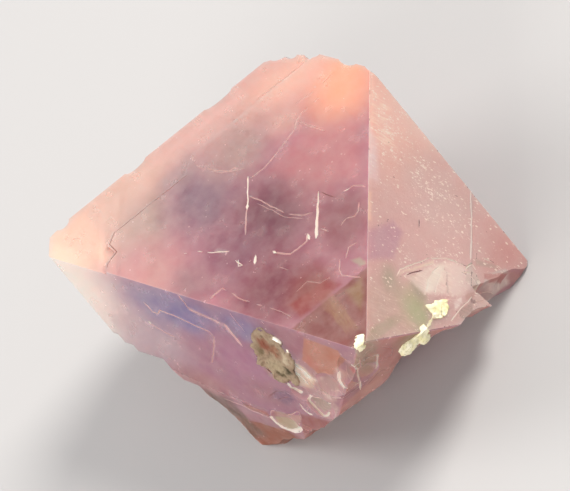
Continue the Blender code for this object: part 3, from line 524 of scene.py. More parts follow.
# Panels that lie near a face, on it and on the breaks and chips below it, in the same form
NEAR_PANELS = {
    "veil": ("right", [(-9.4, 6.0), (-6.1, 2.3), (-5.1, 0.3), (-4.9, -1.7), (-8.4, -1.2), (-10.4, 3.6)],
        0.6, "f4e2d2", 1.0, 0.3),
    "veil_cream": ("right", [(-10.3, 3.7), (-8.6, 3.5), (-6.2, 1.9), (-6.0, 1.0), (-7.6, 1.0), (-9.6, 2.6)],
        0.4, "fff4e0", 1.0, 0.3),
    "veil_edge_panel": ("right", [(-9.8, 6.7), (-9.1, 6.6), (-5.8, 2.2), (-6.6, 2.2)],
        0.35, "f0dcc0", 0.85, 0.0),
    # Painted shade: a shadow line along the fold of the veil
    "veil_fold_shade": ("right", [(-8.8, 0.9), (-6.4, 1.0), (-6.6, 0.6), (-8.9, 0.4)],
        0.25, "b49a8e", 0.7, 0.0),
    "veil_low": ("right", [(-9.2, 0.4), (-5.4, 0.4), (-5.0, -1.6), (-6.6, -2.8), (-8.4, -1.3)],
        0.5, "ecd6ca", 0.95, 0.3),
    "grey_facet_panel": ("right", [(-6.6, -1.4), (-5.0, -1.7), (-4.5, -2.5), (-5.4, -3.5), (-6.8, -3.0)],
        0.2, "d4c0b2", 0.85, 0.0),
    "granular": ("right", [(-10.3, -0.2), (-9.2, 0.1), (-8.2, -1.1), (-9.0, -1.3)],
        0.3, "fff2e8", 0.95, 0.5),
    "brown_band": ("right", [(-10.7, -0.7), (-9.9, -0.5), (-8.3, -2.2), (-8.8, -2.8), (-10.6, -1.5)],
        0.25, "a08274", 0.9, 0.3),
    "red_facet": ("right", [(-8.6, -1.4), (-8.0, -1.4), (-7.0, -2.8), (-7.3, -3.1), (-8.2, -2.3)],
        0.15, "bc8878", 0.9, 0.0),
    "dark_spot": ("right", [(-8.7, -2.0), (-8.1, -2.0), (-7.6, -3.0), (-8.1, -3.1)],
        0.15, "7c4a42", 0.9, 0.0),
    "low_cream": ("right", [(-7.1, -2.8), (-6.2, -3.0), (-5.8, -3.4), (-6.4, -3.7)],
        0.15, "f6e0c8", 0.95, 0.0),
    "grey_glass": ("right", [(-6.4, -3.8), (-4.6, -3.9), (-2.8, -6.6), (-3.2, -8.6), (-6.0, -6.4)],
        0.3, "ccbcb4", 0.9, 0.0),
    # Whitish cloud in the glassy shells, with painted highlights on them
    "glass_cloud_and_highlight": ("right", [(-5.5, -4.5), (-4.5, -4.7), (-2.8, -7.4), (-3.0, -8.8), (-4.6, -7.4)],
        0.4, "fff6ea", 0.95, 0.4),
    "red_band": ("right", [(-5.3, -3.9), (-4.6, -3.9), (-3.0, -7.2), (-3.6, -7.6), (-5.0, -5.0)],
        0.2, "b4645a", 0.9, 0.0),
    "low_red_rim": ("right", [(-8.2, -4.2), (-7.6, -4.2), (-5.4, -6.9), (-5.8, -7.0), (-7.6, -5.6)],
        0.3, "b07470", 0.8, 0.0),
    "tip_olive": ("right", [(-4.4, -2.8), (-3.4, -2.8), (-2.9, -5.8), (-3.6, -5.8)],
        0.4, "ac9684", 0.7, 0.0),
    "left_mauve": ("left", [(7.6, 10.2), (12.6, 10.2), (11.2, 7.6), (9.6, 6.0), (8.2, 7.6)],
        0.7, "a06c78", 1.0, 0.0),
    "peach_facet": ("left", [(10.3, 6.6), (11.7, 5.3), (13.7, 5.9), (15.6, 8.2), (15.4, 9.4), (11.6, 9.7)],
        0.14, "b87a60", 0.95, 0.0),
    "peach_red": ("left", [(10.3, 6.5), (12.0, 5.3), (12.6, 6.6), (11.0, 8.0)],
        0.8, "bc6a5c", 0.7, 0.0),
    "right_of_peach": ("left", [(13.9, 5.6), (15.8, 8.0), (15.9, 9.8), (17.2, 10.4), (15.8, 5.4)],
        0.4, "a87c74", 0.9, 0.3),
    "white_veil": ("left", [(8.7, 6.3), (10.3, 5.9), (11.4, 4.5), (10.5, 3.0), (8.1, 2.8), (8.6, 4.4)],
        0.4, "dec6aa", 0.95, 0.2),
    # Painted highlight on the lit middle of the white veil
    "white_veil_highlight": ("left", [(9.6, 5.4), (10.4, 5.3), (11.1, 4.5), (10.5, 3.8), (9.8, 4.2)],
        0.4, "ffeed6", 0.95, 0.2),
    "crust_halo": ("left", [(4.6, 5.4), (5.4, 3.6), (8.0, 3.4), (9.6, 3.4), (8.4, 2.5), (5.2, 2.6)],
        0.5, "c8aa92", 0.95, 0.2),
    "dusky_veins": ("left", [(4.2, 0.0), (5.2, 1.8), (7.2, 2.1), (8.0, 0.9), (6.4, -0.5)],
        0.6, "64486a", 0.9, 0.35),
    "streak_field": ("left", [(10.6, 4.7), (12.0, 5.1), (13.8, 3.8), (12.8, 2.2), (11.2, 2.3)],
        0.4, "e2cabc", 0.95, 0.8),
    "pit_pale": ("left", [(13.6, 6.6), (14.6, 7.4), (15.0, 6.0), (14.8, 4.6), (13.6, 5.0)],
        0.3, "d6b6aa", 0.8, 0.6),
    "under_peach": ("left", [(10.2, 6.4), (12.2, 5.1), (14.0, 6.2), (14.0, 4.2), (11.4, 2.6), (10.6, 4.0)],
        0.4, "b08a84", 0.8, 0.3),
    "crust_shadow": ("left", [(4.4, 4.6), (5.4, 5.0), (7.4, 3.0), (7.6, 2.2), (5.2, 2.8)],
        0.5, "a88a80", 0.8, 0.2),
    "grey_shell": ("left", [(9.2, 1.6), (11.9, 1.8), (11.3, 0.7), (10.3, 0.0), (9.5, 0.5)],
        0.12, "a89284", 0.95, 0.0),
    "purple_low": ("left", [(12.0, 2.2), (13.8, 3.9), (15.8, 4.6), (15.2, 3.4), (12.8, 1.4)],
        0.4, "9a6676", 0.7, 0.2),
    "pit_red": ("left", [(15.1, 6.9), (15.9, 7.0), (16.1, 6.2), (15.3, 5.9)],
        0.3, "b05050", 0.9, 0.0),
    "olive_stripe": ("left", [(16.8, 8.2), (17.5, 10.8), (18.9, 10.8), (17.6, 8.0)],
        0.3, "aca080", 0.85, 0.3),
    "low_red": ("left", [(7.4, -0.5), (9.0, -0.5), (11.6, -0.2), (9.0, -5.0), (6.0, -6.0), (6.8, -2.8)],
        0.3, "94544a", 0.95, 0.2),
    # Red-brown of the foot, deepened with painted shade
    "foot_brown_and_shade": ("left", [(-6.0, -1.2), (3.3, -2.0), (4.2, -4.1), (8.4, -3.4), (3.0, -9.0), (-6.0, -9.0)],
        0.15, "8a401c", 1.0, 0.0),
    # Olive of the foot, deepened almost to black with painted shade
    "foot_olive_and_shade": ("left", [(-5.0, -1.1), (-0.6, -1.6), (0.8, -7.4), (-1.6, -9.0), (-6.0, -4.6)],
        1.2, "3c2a08", 1.0, 0.3),
    "foot_red": ("left", [(0.2, -1.7), (3.4, -1.9), (3.5, -2.8), (0.6, -2.6)],
        0.3, "9c5a4c", 0.85, 0.0),
    "foot_shell_upper": ("left", [
        (3.9, -1.7), (5.2, -1.4), (7.4, -0.6), (7.5, -1.6), (6.7, -2.7), (3.7, -2.6)],
        0.25, "c29c8c", 0.85, 0.2),
    "foot_shell_lower": ("left", [(3.6, -2.5), (6.9, -2.4), (6.3, -3.2), (5.0, -3.8), (3.9, -3.5)],
        0.15, "b8a688", 0.95, 0.0),
    "corner_band": ("front", [(-0.6, 20.2), (0.9, 20.4), (0.7, 17.0), (-0.6, 15.0), (-1.3, 17.0)],
        0.4, "a88464", 0.8, 0.4),
    "front_low_rose": ("front", [(-2.4, 11.4), (4.0, 12.0), (5.0, 9.0), (-2.0, 7.0)],
        0.8, "cc9c92", 0.8, 0.2),
}
PANEL_SIDES = (4, 5, 6)

# How deep below a face its near panels reach, and the depth over which they fade out
NEAR_DEPTH = 7.0
NEAR_FADE = 2.0
ZONE_CORE = 0.1
BODY_COLOUR = "b4808a"


def facing(azimuth, rise):
    """Unit vector for a compass direction in degrees from +X and the rise of its slope."""
    level = math.sqrt(max(0.0, 1 - rise * rise))
    angle = math.radians(azimuth)
    return Vector((level * math.cos(angle), level * math.sin(angle), rise))


def frame_on(normal, along, distance):
    """Frame with Z out of a plane, X along it and Y up it, over the foot of the growth centre."""
    up = normal.cross(along).normalized()
    level = up.cross(normal)
    place = Matrix((level, up, normal)).transposed().to_4x4()
    place.translation = normal * distance
    return place


def slope_frame(azimuth, rise, distance):
    normal = facing(azimuth, rise)
    along = Vector((0, 0, 1)).cross(normal)
    return frame_on(normal, along if along.length > 0.01 else Vector((1, 0, 0)), distance)


packed_corners = [TO_ROW.inverted() @ vert.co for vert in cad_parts["fluorite_crystal"].data.vertices]


def reach(azimuth, rise):
    """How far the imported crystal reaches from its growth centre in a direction."""
    normal = facing(azimuth, rise)
    return max(corner.dot(normal) for corner in packed_corners)


face_distance = {name: reach(*facing_of) for name, facing_of in FACES.items()}


def surface(name):
    """Compass direction, rise and distance of a growth face or of a ledge in it."""
    if name in FACES:
        return (*FACES[name], face_distance[name])
    face, distance, _ = LEDGES[name]
    return (*FACES[face], distance)


def face_frame(name):
    return slope_frame(*surface(name))


def new_object(name, bm):
    """Object from a mesh, with its face normals made to agree, linked into the scene."""
    bmesh.ops.recalc_face_normals(bm, faces=bm.faces)
    mesh = bpy.data.meshes.new(name)
    bm.to_mesh(mesh)
    bm.free()
    item = bpy.data.objects.new(name, mesh)
    bpy.context.scene.collection.objects.link(item)
    return item


def baked(item):
    """The object with its modifiers worked into its mesh."""
    graph = bpy.context.evaluated_depsgraph_get()
    mesh = bpy.data.meshes.new_from_object(item.evaluated_get(graph))
    item.modifiers.clear()
    item.data = mesh
    return item


def carve(target, cutters):
    """Cuts the cutters out of the target, all at once, and removes them."""
    tools = bpy.data.collections.new("tools")
    for cutter in cutters:
        tools.objects.link(cutter)
    modifier = target.modifiers.new("carve", "BOOLEAN")
    modifier.operation = "DIFFERENCE"
    modifier.solver = "EXACT"
    modifier.operand_type = "COLLECTION"
    modifier.collection = tools
    for item in [target] + cutters:
        finish_slots(item)
    baked(target)
    for cutter in cutters:
        bpy.data.objects.remove(cutter)
    bpy.data.collections.remove(tools)


finish_materials = [bpy.data.materials.new(f"finish_{number}") for number in range(len(FINISHES) + 1)]


def finish_slots(item):
    if not item.data.materials:
        for made in finish_materials:
            item.data.materials.append(made)


def block_mesh(planes):
    """Convex solid bounded by (normal, distance) planes, closed far out by a box."""
    box = [(Vector(axis) * side, REACH) for axis in ((1, 0, 0), (0, 1, 0), (0, 0, 1)) for side in (1, -1)]
    bounds = planes + box
    bm = bmesh.new()
    for trio in itertools.combinations(bounds, 3):
        normals = Matrix([normal for normal, _ in trio])
        if abs(normals.determinant()) < 1e-5:
            continue
        corner = normals.inverted() @ Vector([distance for _, distance in trio])
        if all(normal.dot(corner) <= distance + 1e-3 for normal, distance in bounds):
            bm.verts.new(corner)
    bmesh.ops.remove_doubles(bm, verts=bm.verts, dist=SAME_POINT)
    hull = bmesh.ops.convex_hull(bm, input=bm.verts)
    unused = hull["geom_interior"] + hull["geom_unused"]
    inner = {item for item in unused if isinstance(item, bmesh.types.BMVert)}
    bmesh.ops.delete(bm, geom=list(inner), context="VERTS")
    bmesh.ops.dissolve_limit(bm, angle_limit=math.radians(FLAT_ANGLE), verts=bm.verts, edges=bm.edges)
    return bm


def relief_mesh(place, along, up, cell, height):
    """Slab whose inner side is a relief over a grid of cells, and whose outer side is flat and far out."""
    columns = round((along[1] - along[0]) / cell)
    rows = round((up[1] - up[0]) / cell)
    bm = bmesh.new()
    inner = []
    for column in range(columns + 1):
        a = along[0] + column * cell
        heights = [(up[0] + row * cell) for row in range(rows + 1)]
        inner.append([bm.verts.new(place @ Vector((a, b, height(a, b)))) for b in heights])
    for c in range(columns):
        for r in range(rows):
            bm.faces.new((inner[c][r], inner[c][r + 1], inner[c + 1][r + 1], inner[c + 1][r]))
    rim = [edge for edge in bm.edges if edge.is_boundary]
    raised = bmesh.ops.extrude_edge_only(bm, edges=rim)["geom"]
    lid = [item for item in raised if isinstance(item, bmesh.types.BMVert)]
    flat = place.inverted()
    for vert in lid:
        seen = flat @ vert.co
        seen.z = FAR_OUT
        vert.co = place @ seen
    lid_edges = [item for item in raised if isinstance(item, bmesh.types.BMEdge) and item.is_boundary]
    bmesh.ops.contextual_create(bm, geom=lid_edges)
    for face in bm.faces:
        face.material_index = BROKEN
    return bm


def ring(bm, place, outline, level):
    """Adds the corners of an outline at a level over a frame's plane."""
    return [bm.verts.new(place @ Vector((*point, level))) for point in outline]


def join_rings(bm, rings, finish=GROWN):
    """Closes rings of corners into a solid with one finish, and gives back the face over the first ring."""
    first = bm.faces.new(rings[0])
    bm.faces.new(rings[-1])
    for low, high in zip(rings, rings[1:]):
        for i in range(len(low)):
            j = (i + 1) % len(low)
            bm.faces.new((low[i], low[j], high[j], high[i]))
    for face in bm.faces:
        face.material_index = finish
    return first


def inset(outline, width):
    """The outline moved inwards by a width, its corners mitred."""
    moved = []
    turn = sum(Vector(a).cross(Vector(b)) for a, b in zip(outline, outline[1:] + outline[:1]))
    side = 1 if turn > 0 else -1
    for before, here, after in zip(outline[-1:] + outline[:-1], outline, outline[1:] + outline[:1]):
        into = (Vector(here) - Vector(before)).normalized()
        out = (Vector(after) - Vector(here)).normalized()
        mitre = Vector((-into.y - out.y, into.x + out.x)) * side
        scale = min(2.0, 2 / max(0.3, mitre.length_squared / 2 + 1e-6))
        moved.append(Vector(here) + mitre * width * scale / 2)
    return moved


def strip_cutter():
    """Cut of the lowered strip on the top face: a flat bottom inside sloping sides."""
    lip_level = -STRIP_DEPTH + STRIP_DEPTH * (1 + STRIP_LIP)
    levels = ((inset(STRIP_OUTLINE, STRIP_SLOPE), -STRIP_DEPTH),
              (inset(STRIP_OUTLINE, -STRIP_SLOPE * STRIP_LIP), lip_level),
              (STRIP_OUTLINE, CUTTER_TOP))
    bm = bmesh.new()
    rings = [ring(bm, face_frame("top"), points, level) for points, level in levels]
    join_rings(bm, rings, RISER).material_index = GROWN
    return new_object("top_strip", bm)


def resampled(points, step):
    """The line with more points, none further apart than a step."""
    dense = [Vector(points[0])]
    for start, end in zip(points, points[1:]):
        start, end = Vector(start), Vector(end)
        count = max(1, math.ceil((end - start).length / step))
        dense += [start.lerp(end, i / count) for i in range(1, count + 1)]
    return dense


def curved(points, steps):
    """Smooth line through the points."""
    points = [Vector(point) for point in points]
    ends = [2 * points[0] - points[1]] + points + [2 * points[-1] - points[-2]]
    line = []
    for before, start, end, after in zip(ends, ends[1:], ends[2:], ends[3:]):
        for step in range(steps):
            t = step / steps
            bend = (2 * before - 5 * start + 4 * end - after) * t
            bend += (3 * (start - end) + after - before) * t * t
            line.append(start + ((end - before) + bend) * t / 2)
    return line + [points[-1]]


def wavering(points):
    """The line with its points pushed a little off it, as a natural crack runs."""
    def push(point):
        at = Vector((*point, 0)) * WAVER_WAVES
        return Vector((noise.noise(at), noise.noise(at + Vector((0, 0, 5)))))

    return [point + push(point) * LINE_WAVER * 2 for point in points]


def stretches(points, missing):
    """The stretches of the line that are left when a share of it is missing."""
    parts = [[]]
    for point in points:
        if 0.5 + 1.3 * noise.noise(Vector((*point, 20)) * GAP_WAVES) >= missing or missing == 0:
            parts[-1].append(point)
        elif parts[-1]:
            parts.append([])
    return [part for part in parts if len(part) > 1]


def skin_tree(item):
    """The object's skin, to find where a line meets it."""
    mesh = item.data
    corners = [vert.co for vert in mesh.vertices]
    return BVHTree.FromPolygons(corners, [face.vertices for face in mesh.polygons])


def skin_height(skin, place, point):
    """Height of the skin over a face's plane at a place on the face, or None where there is none."""
    start = place @ Vector((*point, PROBE_HEIGHT))
    hit = skin.ray_cast(start, -place.col[2].to_3d(), 3 * PROBE_HEIGHT)[0]
    return None if hit is None else (place.inverted() @ hit).z


def line_cutter(name, skin, place, points, style):
    """Groove of triangular section along a line on the skin, tapering to its ends."""
    found = [(point, skin_height(skin, place, point)) for point in points]
    found = [(point, level) for point, level in found if level is not None]
    last = len(found) - 1
    bm = bmesh.new()
    rings = []
    for i, (point, level) in enumerate(found):
        ahead = found[min(i + 1, last)][0] - found[max(i - 1, 0)][0]
        across = Vector((-ahead.y, ahead.x)).normalized()
        uneven = 1 + LINE_UNEVEN * noise.noise(Vector((*point, 9)) * UNEVEN_WAVES)
        share = LINE_END_SHARE if i in (0, last) else uneven
        width = style.start_width + (style.end_width - style.start_width) * i / last
        half = width * share / 2
        top = level + style.depth * LINE_LIFT
        corners = [(point + across * half * LINE_FLARE, top), (point - across * half * LINE_FLARE, top),
                   (point, level - style.depth * share)]
        rings.append([bm.verts.new(place @ Vector((*corner, z))) for corner, z in corners])
    join_rings(bm, rings, style.finish)
    return new_object(name, bm)


def line_cutters(skin):
    """Cutters for all cracks, growth lines, bars and rims."""
    cutters = []
    for name, (face, style_name, points) in LINES.items():
        style = LINE_STYLES[style_name]
        path = curved(points, RIM_STEPS) if style.curved else wavering(resampled(points, LINE_STEP))
        for number, part in enumerate(stretches(path, style.missing)):
            cutters.append(line_cutter(f"{name}_{number}", skin, face_frame(face), part, style))
    return cutters


def shell_cutter(name, place, across, height, depth, finish=BROKEN, fineness=4):
    """Flattened ball whose underside dips into a face as a shell-shaped chip."""
    radius = SHELL_CURVE * depth
    spread = 2 * math.sqrt(1 - (1 - depth / radius) ** 2)
    bm = bmesh.new()
    bmesh.ops.create_icosphere(bm, subdivisions=fineness, radius=1)
    for vert in bm.verts:
        vert.co *= 1 + SHELL_UNEVEN * noise.noise(vert.co * SHELL_WAVES + Vector((across, height, depth)) * 7)
    ball = Matrix.Diagonal((across / spread, height / spread, radius, 1))
    bmesh.ops.transform(bm, matrix=place @ Matrix.Translation((0, 0, radius - depth)) @ ball, verts=bm.verts)
    for face in bm.faces:
        face.material_index = finish
    return new_object(name, bm)


def along_line(points, place):
    """Value of a line of (place, value) points at a place between them."""
    for (start, low), (end, high) in zip(points, points[1:]):
        if place <= end:
            return low + (high - low) * (place - start) / (end - start)
    return points[-1][1]


def hollow(hollows, a, b):
    """Depth at a place of shell-shaped hollows that meet in sharp ridges."""
    depths = [depth * (1 - ((a - x) ** 2 + (b - y) ** 2) / radius ** 2) for x, y, radius, depth in hollows]
    return max(0.0, *depths)


def grain(a, b, seed):
    return noise.fractal(Vector((a * 0.45, b * 0.45, seed)), 1.0, 2.0, 3)


def splinters(a, b, seed):
    """Fine stepped roughness of a break: short terraces with a ragged edge, up to 1 deep."""
    warp = noise.noise(Vector((a * 0.9, b * 0.9, seed + 4.0)))
    terrace = (a * 0.55 + b * 1.1 + 1.6 * warp) % 1.0
    fine = abs(noise.fractal(Vector((a * 2.2, b * 2.2, seed)), 1.0, 2.0, 3))
    return 0.6 * terrace + 0.4 * fine


def edge_frame(first, second, worn):
    """Frame on the worn edge between two faces, Z out of it and X along it."""
    normals = [facing(*FACES[name]) for name in (first, second)]
    between = (normals[0] + normals[1]).normalized()
    edge = normals[0].cross(normals[1]).normalized()
    foot = Matrix((*normals, edge)).inverted() @ Vector((face_distance[first], face_distance[second], 0))
    return frame_on(between, edge, between.dot(foot) - worn)


def worn_edges():
    """Planes that take the sharpness off the long edges."""
    places = [edge_frame(*pair, worn) for pair, worn in WORN_EDGES.items()]
    normals = [place.col[2].to_3d() for place in places]
    return [(normal, normal.dot(place.translation)) for normal, place in zip(normals, places)]


def nick_cutters():
    """Small chips at chance places along the long edges."""
    dice = random.Random(SEED)
    cutters = []
    for pair, (start, end, count) in EDGE_NICKS.items():
        place = edge_frame(*pair, WORN_EDGES[pair])
        for number in range(count):
            along = dice.uniform(start, end)
            sizes = [dice.uniform(*limits) for limits in (NICK_WIDTH, NICK_HEIGHT, NICK_DEPTH)]
            middle = place @ Matrix.Translation((along, 0, 0))
            name = f"{pair[0]}_{pair[1]}_nick_{number}"
            cutters.append(shell_cutter(name, middle, *sizes, WORN, 3))
    return cutters


def crest_cutters():
    """Dips in the rounded crest and at the left tip."""
    cutters = []
    for number, (point, azimuth, width, depth) in enumerate(CREST_DIPS):
        outward = facing(azimuth, 0)
        place = frame_on(outward, Vector((0, 0, 1)).cross(outward), 0)
        place.translation = Vector((*point, face_distance["top"]))
        name = f"crest_dip_{number}"
        cutters.append(shell_cutter(name, place, width, CREST_DIP_HEIGHT, depth, WORN, 3))
    return cutters


def make_block():
    """The whole octahedron with its worn corners and edges, before anything is cut from it."""
    planes = [(facing(*place), face_distance[name]) for name, place in FACES.items()]
    planes += [(facing(*place), reach(*place)) for place in WORN_CORNERS.values()]
    bm = block_mesh(planes + worn_edges())
    bm.normal_update()
    normals = [facing(*place) for place in FACES.values()]
    for face in bm.faces:
        is_grown = any(face.normal.dot(normal) > 0.9999 for normal in normals)
        face.material_index = GROWN if is_grown else WORN
    return new_object("fluorite_crystal_skin", bm)


def ledge_cutters():
    cutters = []
    for name, (_, _, spaces) in LEDGES.items():
        planes = [(-facing(azimuth, rise), -distance) for azimuth, rise, distance in [surface(name)] + spaces]
        cutters.append(new_object(name, block_mesh(planes)))
    return cutters


def break_cutters():
    """The broken surfaces where the crystal came off its rock."""
    big = frame_on(facing(*BREAK_FACING), Vector(BREAK_ALONG), 0)

    def big_relief(a, b):
        level = along_line(BREAK_LINE, a) - hollow(BREAK_HOLLOWS, a, b) - BREAK_GRAIN * abs(grain(a, b, 1.0))
        return level - SPLINTERS * splinters(a, b, 1.0)

    cutters = [new_object("front_break", relief_mesh(big, *BREAK_SPAN, BREAK_CELL, big_relief))]
    small_breaks = (("tip_break", TIP_BREAK, TIP_BREAK_HOLLOWS, TIP_BREAK_SPAN),
                    ("foot_break", FOOT_BREAK, FOOT_BREAK_HOLLOWS, FOOT_BREAK_SPAN))
    for seed, (name, place, hollows, span) in enumerate(small_breaks, 5):

        def relief(a, b, hollows=hollows, seed=seed):
            level = -hollow(hollows, a, b) - SMALL_BREAK_GRAIN * abs(grain(a, b, seed))
            return level - SMALL_SPLINTERS * splinters(a, b, seed)

        cutters.append(new_object(name, relief_mesh(slope_frame(*place), *span, BREAK_CELL, relief)))
    return cutters


def grown(outline, extra):
    """The outline moved outwards from its middle by an extra width."""
    middle = sum((Vector(point) for point in outline), Vector((0, 0))) / len(outline)
    return [tuple(middle + (Vector(p) - middle) * (1 + extra / (Vector(p) - middle).length)) for p in outline]


def pit_cutter():
    """Cut of the pit in which the brown crust sits."""
    bm = bmesh.new()
    outline = grown(BROWN_OUTLINE, BROWN_PIT_GAP)
    rings = [ring(bm, face_frame("left"), outline, level) for level in (-BROWN_PIT_DEPTH, FAR_OUT)]
    join_rings(bm, rings, BROKEN)
    return new_object("brown_pit", bm)


def gridded(item):
    """Cuts large faces into cells, the frosted face finely, and roughens the frosted face."""
    bm = bmesh.new()
    bm.from_mesh(item.data)
    low = [min(vert.co[axis] for vert in bm.verts) for axis in range(3)]
    high = [max(vert.co[axis] for vert in bm.verts) for axis in range(3)]
    for axis in range(3):
        normal = Vector([float(axis == other) for other in range(3)])
        for number in range(1, math.ceil((high[axis] - low[axis]) / WIDE_CELL)):
            split(bm, list(bm.faces), normal * (low[axis] + number * WIDE_CELL), normal)
    frost(bm, face_frame("right"))
    join_touching_edges(bm)
    bm.to_mesh(item.data)
    bm.free()


def frost(bm, place):
    """Cuts the frosted face into fine cells and pushes its points in and out."""
    normal = place.col[2].to_3d()
    for axis in range(2):
        across = place.col[axis].to_3d()
        spots = [vert.co.dot(across) for face in facing_faces(bm, normal) for vert in face.verts]
        for number in range(1, math.ceil((max(spots) - min(spots)) / FROST_CELL)):
            split(bm, facing_faces(bm, normal), across * (min(spots) + number * FROST_CELL), across)
    for vert in bm.verts:
        if all(face.normal.dot(normal) > SAME_WAY and broad(face) for face in vert.link_faces):
            vert.co += normal * FROST_DEPTH * (noise.fractal(vert.co * FROST_WAVES, 0.5, 2.0, 4) - FROST_SINK)


def facing_faces(bm, normal):
    return [face for face in bm.faces if face.normal.dot(normal) > SAME_WAY]


def broad(face):
    """Whether a face is more than a sliver."""
    return 2 * face.calc_area() > SLIVER_HEIGHT * max(edge.calc_length() for edge in face.edges)


def split(bm, faces, point, normal):
    edges = {edge for face in faces for edge in face.edges}
    verts = {vert for face in faces for vert in face.verts}
    bmesh.ops.bisect_plane(bm, geom=[*faces, *edges, *verts], dist=1e-4, plane_co=point, plane_no=normal)


def join_touching_edges(bm):
    """Closes the tiny edges where two parts of the skin touch, so that each edge has two faces."""
    for _ in range(3):
        touching = [edge for edge in bm.edges if not edge.is_manifold]
        bmesh.ops.collapse(bm, edges=touching)
        bmesh.ops.dissolve_degenerate(bm, edges=bm.edges, dist=1e-5)


def chip_cutters():
    """The shell-shaped chips out of the faces and ledges."""
    cutters = []
    for name, (face, a, b, across, height, depth) in CHIPS.items():
        middle = face_frame(face) @ Matrix.Translation((a, b, 0))
        cutters.append(shell_cutter(name, middle, across, height, depth))
    return cutters


def make_crystal():
    """The crystal's skin: the octahedron cut by its ledges, strip, breaks, chips, lines and nicks."""
    crystal = make_block()
    carve(crystal, ledge_cutters())
    carve(crystal, [strip_cutter()])
    carve(crystal, break_cutters())
    carve(crystal, chip_cutters() + [pit_cutter()])
    carve(crystal, line_cutters(skin_tree(crystal)))
    carve(crystal, nick_cutters() + crest_cutters())
    gridded(crystal)
    return crystal


def mark_finishes(item):
    """Turns each face's finish into named values that the material reads, then drops the slots."""
    mesh = item.data
    kinds = [face.material_index for face in mesh.polygons]
    right = facing(*FACES["right"])
    for face in mesh.polygons:
        if kinds[face.index] == GROWN and face.normal.dot(right) > 0.98:
            kinds[face.index] = FROSTED
    for name, kind in FINISHES.items():
        values = mesh.attributes.new(name, "FLOAT", "FACE")
        values.data.foreach_set("value", [float(found == kind) for found in kinds])
    mesh.materials.clear()


def node(tree, kind, inputs=None, **settings):
    """Adds a node with its settings, and sets or links its inputs."""
    made = tree.nodes.new(kind)
    for name, value in settings.items():
        setattr(made, name, value)
    for name, value in (inputs or {}).items():
        if isinstance(value, bpy.types.NodeSocket):
            tree.links.new(value, made.inputs[name])
        else:
            made.inputs[name].default_value = value
    return made


def maths(tree, operation, *values):
    made = node(tree, "ShaderNodeMath", dict(enumerate(values)), operation=operation)
    return made.outputs[0]


def vector_maths(tree, operation, *values):
    """A vector, or a number where the operation is a length, a distance or a dot product."""
    made = node(tree, "ShaderNodeVectorMath", dict(enumerate(values)), operation=operation)
    return made.outputs["Value" if operation in ("LENGTH", "DISTANCE", "DOT_PRODUCT") else "Vector"]


def ramp(tree, value, start, end, low=0.0, high=1.0, smooth=False):
    """Low at the start, high at the end and in between in step with the value."""
    return node(tree, "ShaderNodeMapRange", {
        "Value": value, "From Min": start, "From Max": end, "To Min": low, "To Max": high},
        interpolation_type="SMOOTHSTEP" if smooth else "LINEAR").outputs[0]


def noise_node(tree, place, scale, detail, output=0):
    made = node(tree, "ShaderNodeTexNoise", {"Vector": place, "Scale": scale, "Detail": detail})
    return made.outputs[output]


def blended(tree, share, first, second, mode="MIX"):
    made = node(tree, "ShaderNodeMix", data_type="RGBA", blend_type=mode)
    for number, value in ((0, share), (6, first), (7, second)):
        if isinstance(value, bpy.types.NodeSocket):
            tree.links.new(value, made.inputs[number])
        else:
            made.inputs[number].default_value = value
    return made.outputs[2]


def new_group(name, inputs, outputs):
    """Shader node group with the sockets named, as (tree, what comes in, what goes out)."""
    tree = bpy.data.node_groups.new(name, "ShaderNodeTree")
    for label, (kind, default) in inputs.items():
        socket = tree.interface.new_socket(label, in_out="INPUT", socket_type=f"NodeSocket{kind}")
        socket.default_value = default
    for label, kind in outputs.items():
        tree.interface.new_socket(label, in_out="OUTPUT", socket_type=f"NodeSocket{kind}")
    return tree, tree.nodes.new("NodeGroupInput").outputs, tree.nodes.new("NodeGroupOutput").inputs


def zone_group():
    """Soft ball-shaped patch: the strength at its middle and 0 from its edge out. Scale and Shift turn the
    place into the patch's own, in which its edge is 1 away from its middle."""
    tree, given, result = new_group("soft_zone", {
        "Vector": ("Vector", (0, 0, 0)), "Scale": ("Vector", (1, 1, 1)), "Shift": ("Vector", (0, 0, 0)),
        "Strength": ("Float", 1.0)}, {"Mask": "Float"})
    local = vector_maths(tree, "MULTIPLY_ADD", given["Vector"], given["Scale"], given["Shift"])
    far = vector_maths(tree, "LENGTH", local)
    tree.links.new(ramp(tree, far, 1.0, ZONE_CORE, 0.0, given["Strength"], True), result["Mask"])
    return tree


def zone(tree, groups, place, middle, half_sizes, strength):
    """Mask of a soft patch with its middle and half sizes in a face's place."""
    middle, half_sizes = Vector((*middle, 0)[:3]), Vector(half_sizes)
    return group_node(tree, groups["zone"], {
        "Vector": place, "Scale": [1 / half for half in half_sizes],
        "Shift": [-m / half for m, half in zip(middle, half_sizes)], "Strength": strength})["Mask"]


def panel_group(sides):
    """Flat patch with straight sides: the strength inside and 0 outside. A side is given as its inward
    direction along and up the face and its distance from the middle of the face, and the place as along, up
    and 1."""
    inputs = {"Vector": ("Vector", (0, 0, 0)), "Softness": ("Float", 0.3), "Strength": ("Float", 1.0)}
    inputs.update({f"Side {number}": ("Vector", (0, 0, 1)) for number in range(1, sides + 1)})
    tree, given, result = new_group(f"flat_panel_{sides}", inputs, {"Mask": "Float"})
    inside = None
    for number in range(1, sides + 1):
        side = vector_maths(tree, "DOT_PRODUCT", given["Vector"], given[f"Side {number}"])
        inside = side if inside is None else maths(tree, "MINIMUM", inside, side)
    fade = ramp(tree, inside, 0.0, given["Softness"], 0.0, given["Strength"], True)
    tree.links.new(fade, result["Mask"])
    return tree


def streaks_group():
    """Streaks that run up a face: 1 on a streak and 0 between."""
    tree, given, result = new_group("streaks", {
        "Vector": ("Vector", (0, 0, 0)), "Spacing": ("Vector", (0.15, 1.5, 1.5))}, {"Mask": "Float"})
    local = vector_maths(tree, "DIVIDE", given["Vector"], given["Spacing"])
    tree.links.new(ramp(tree, noise_node(tree, local, 1.0, 2.0), 0.46, 0.62), result["Mask"])
    return tree


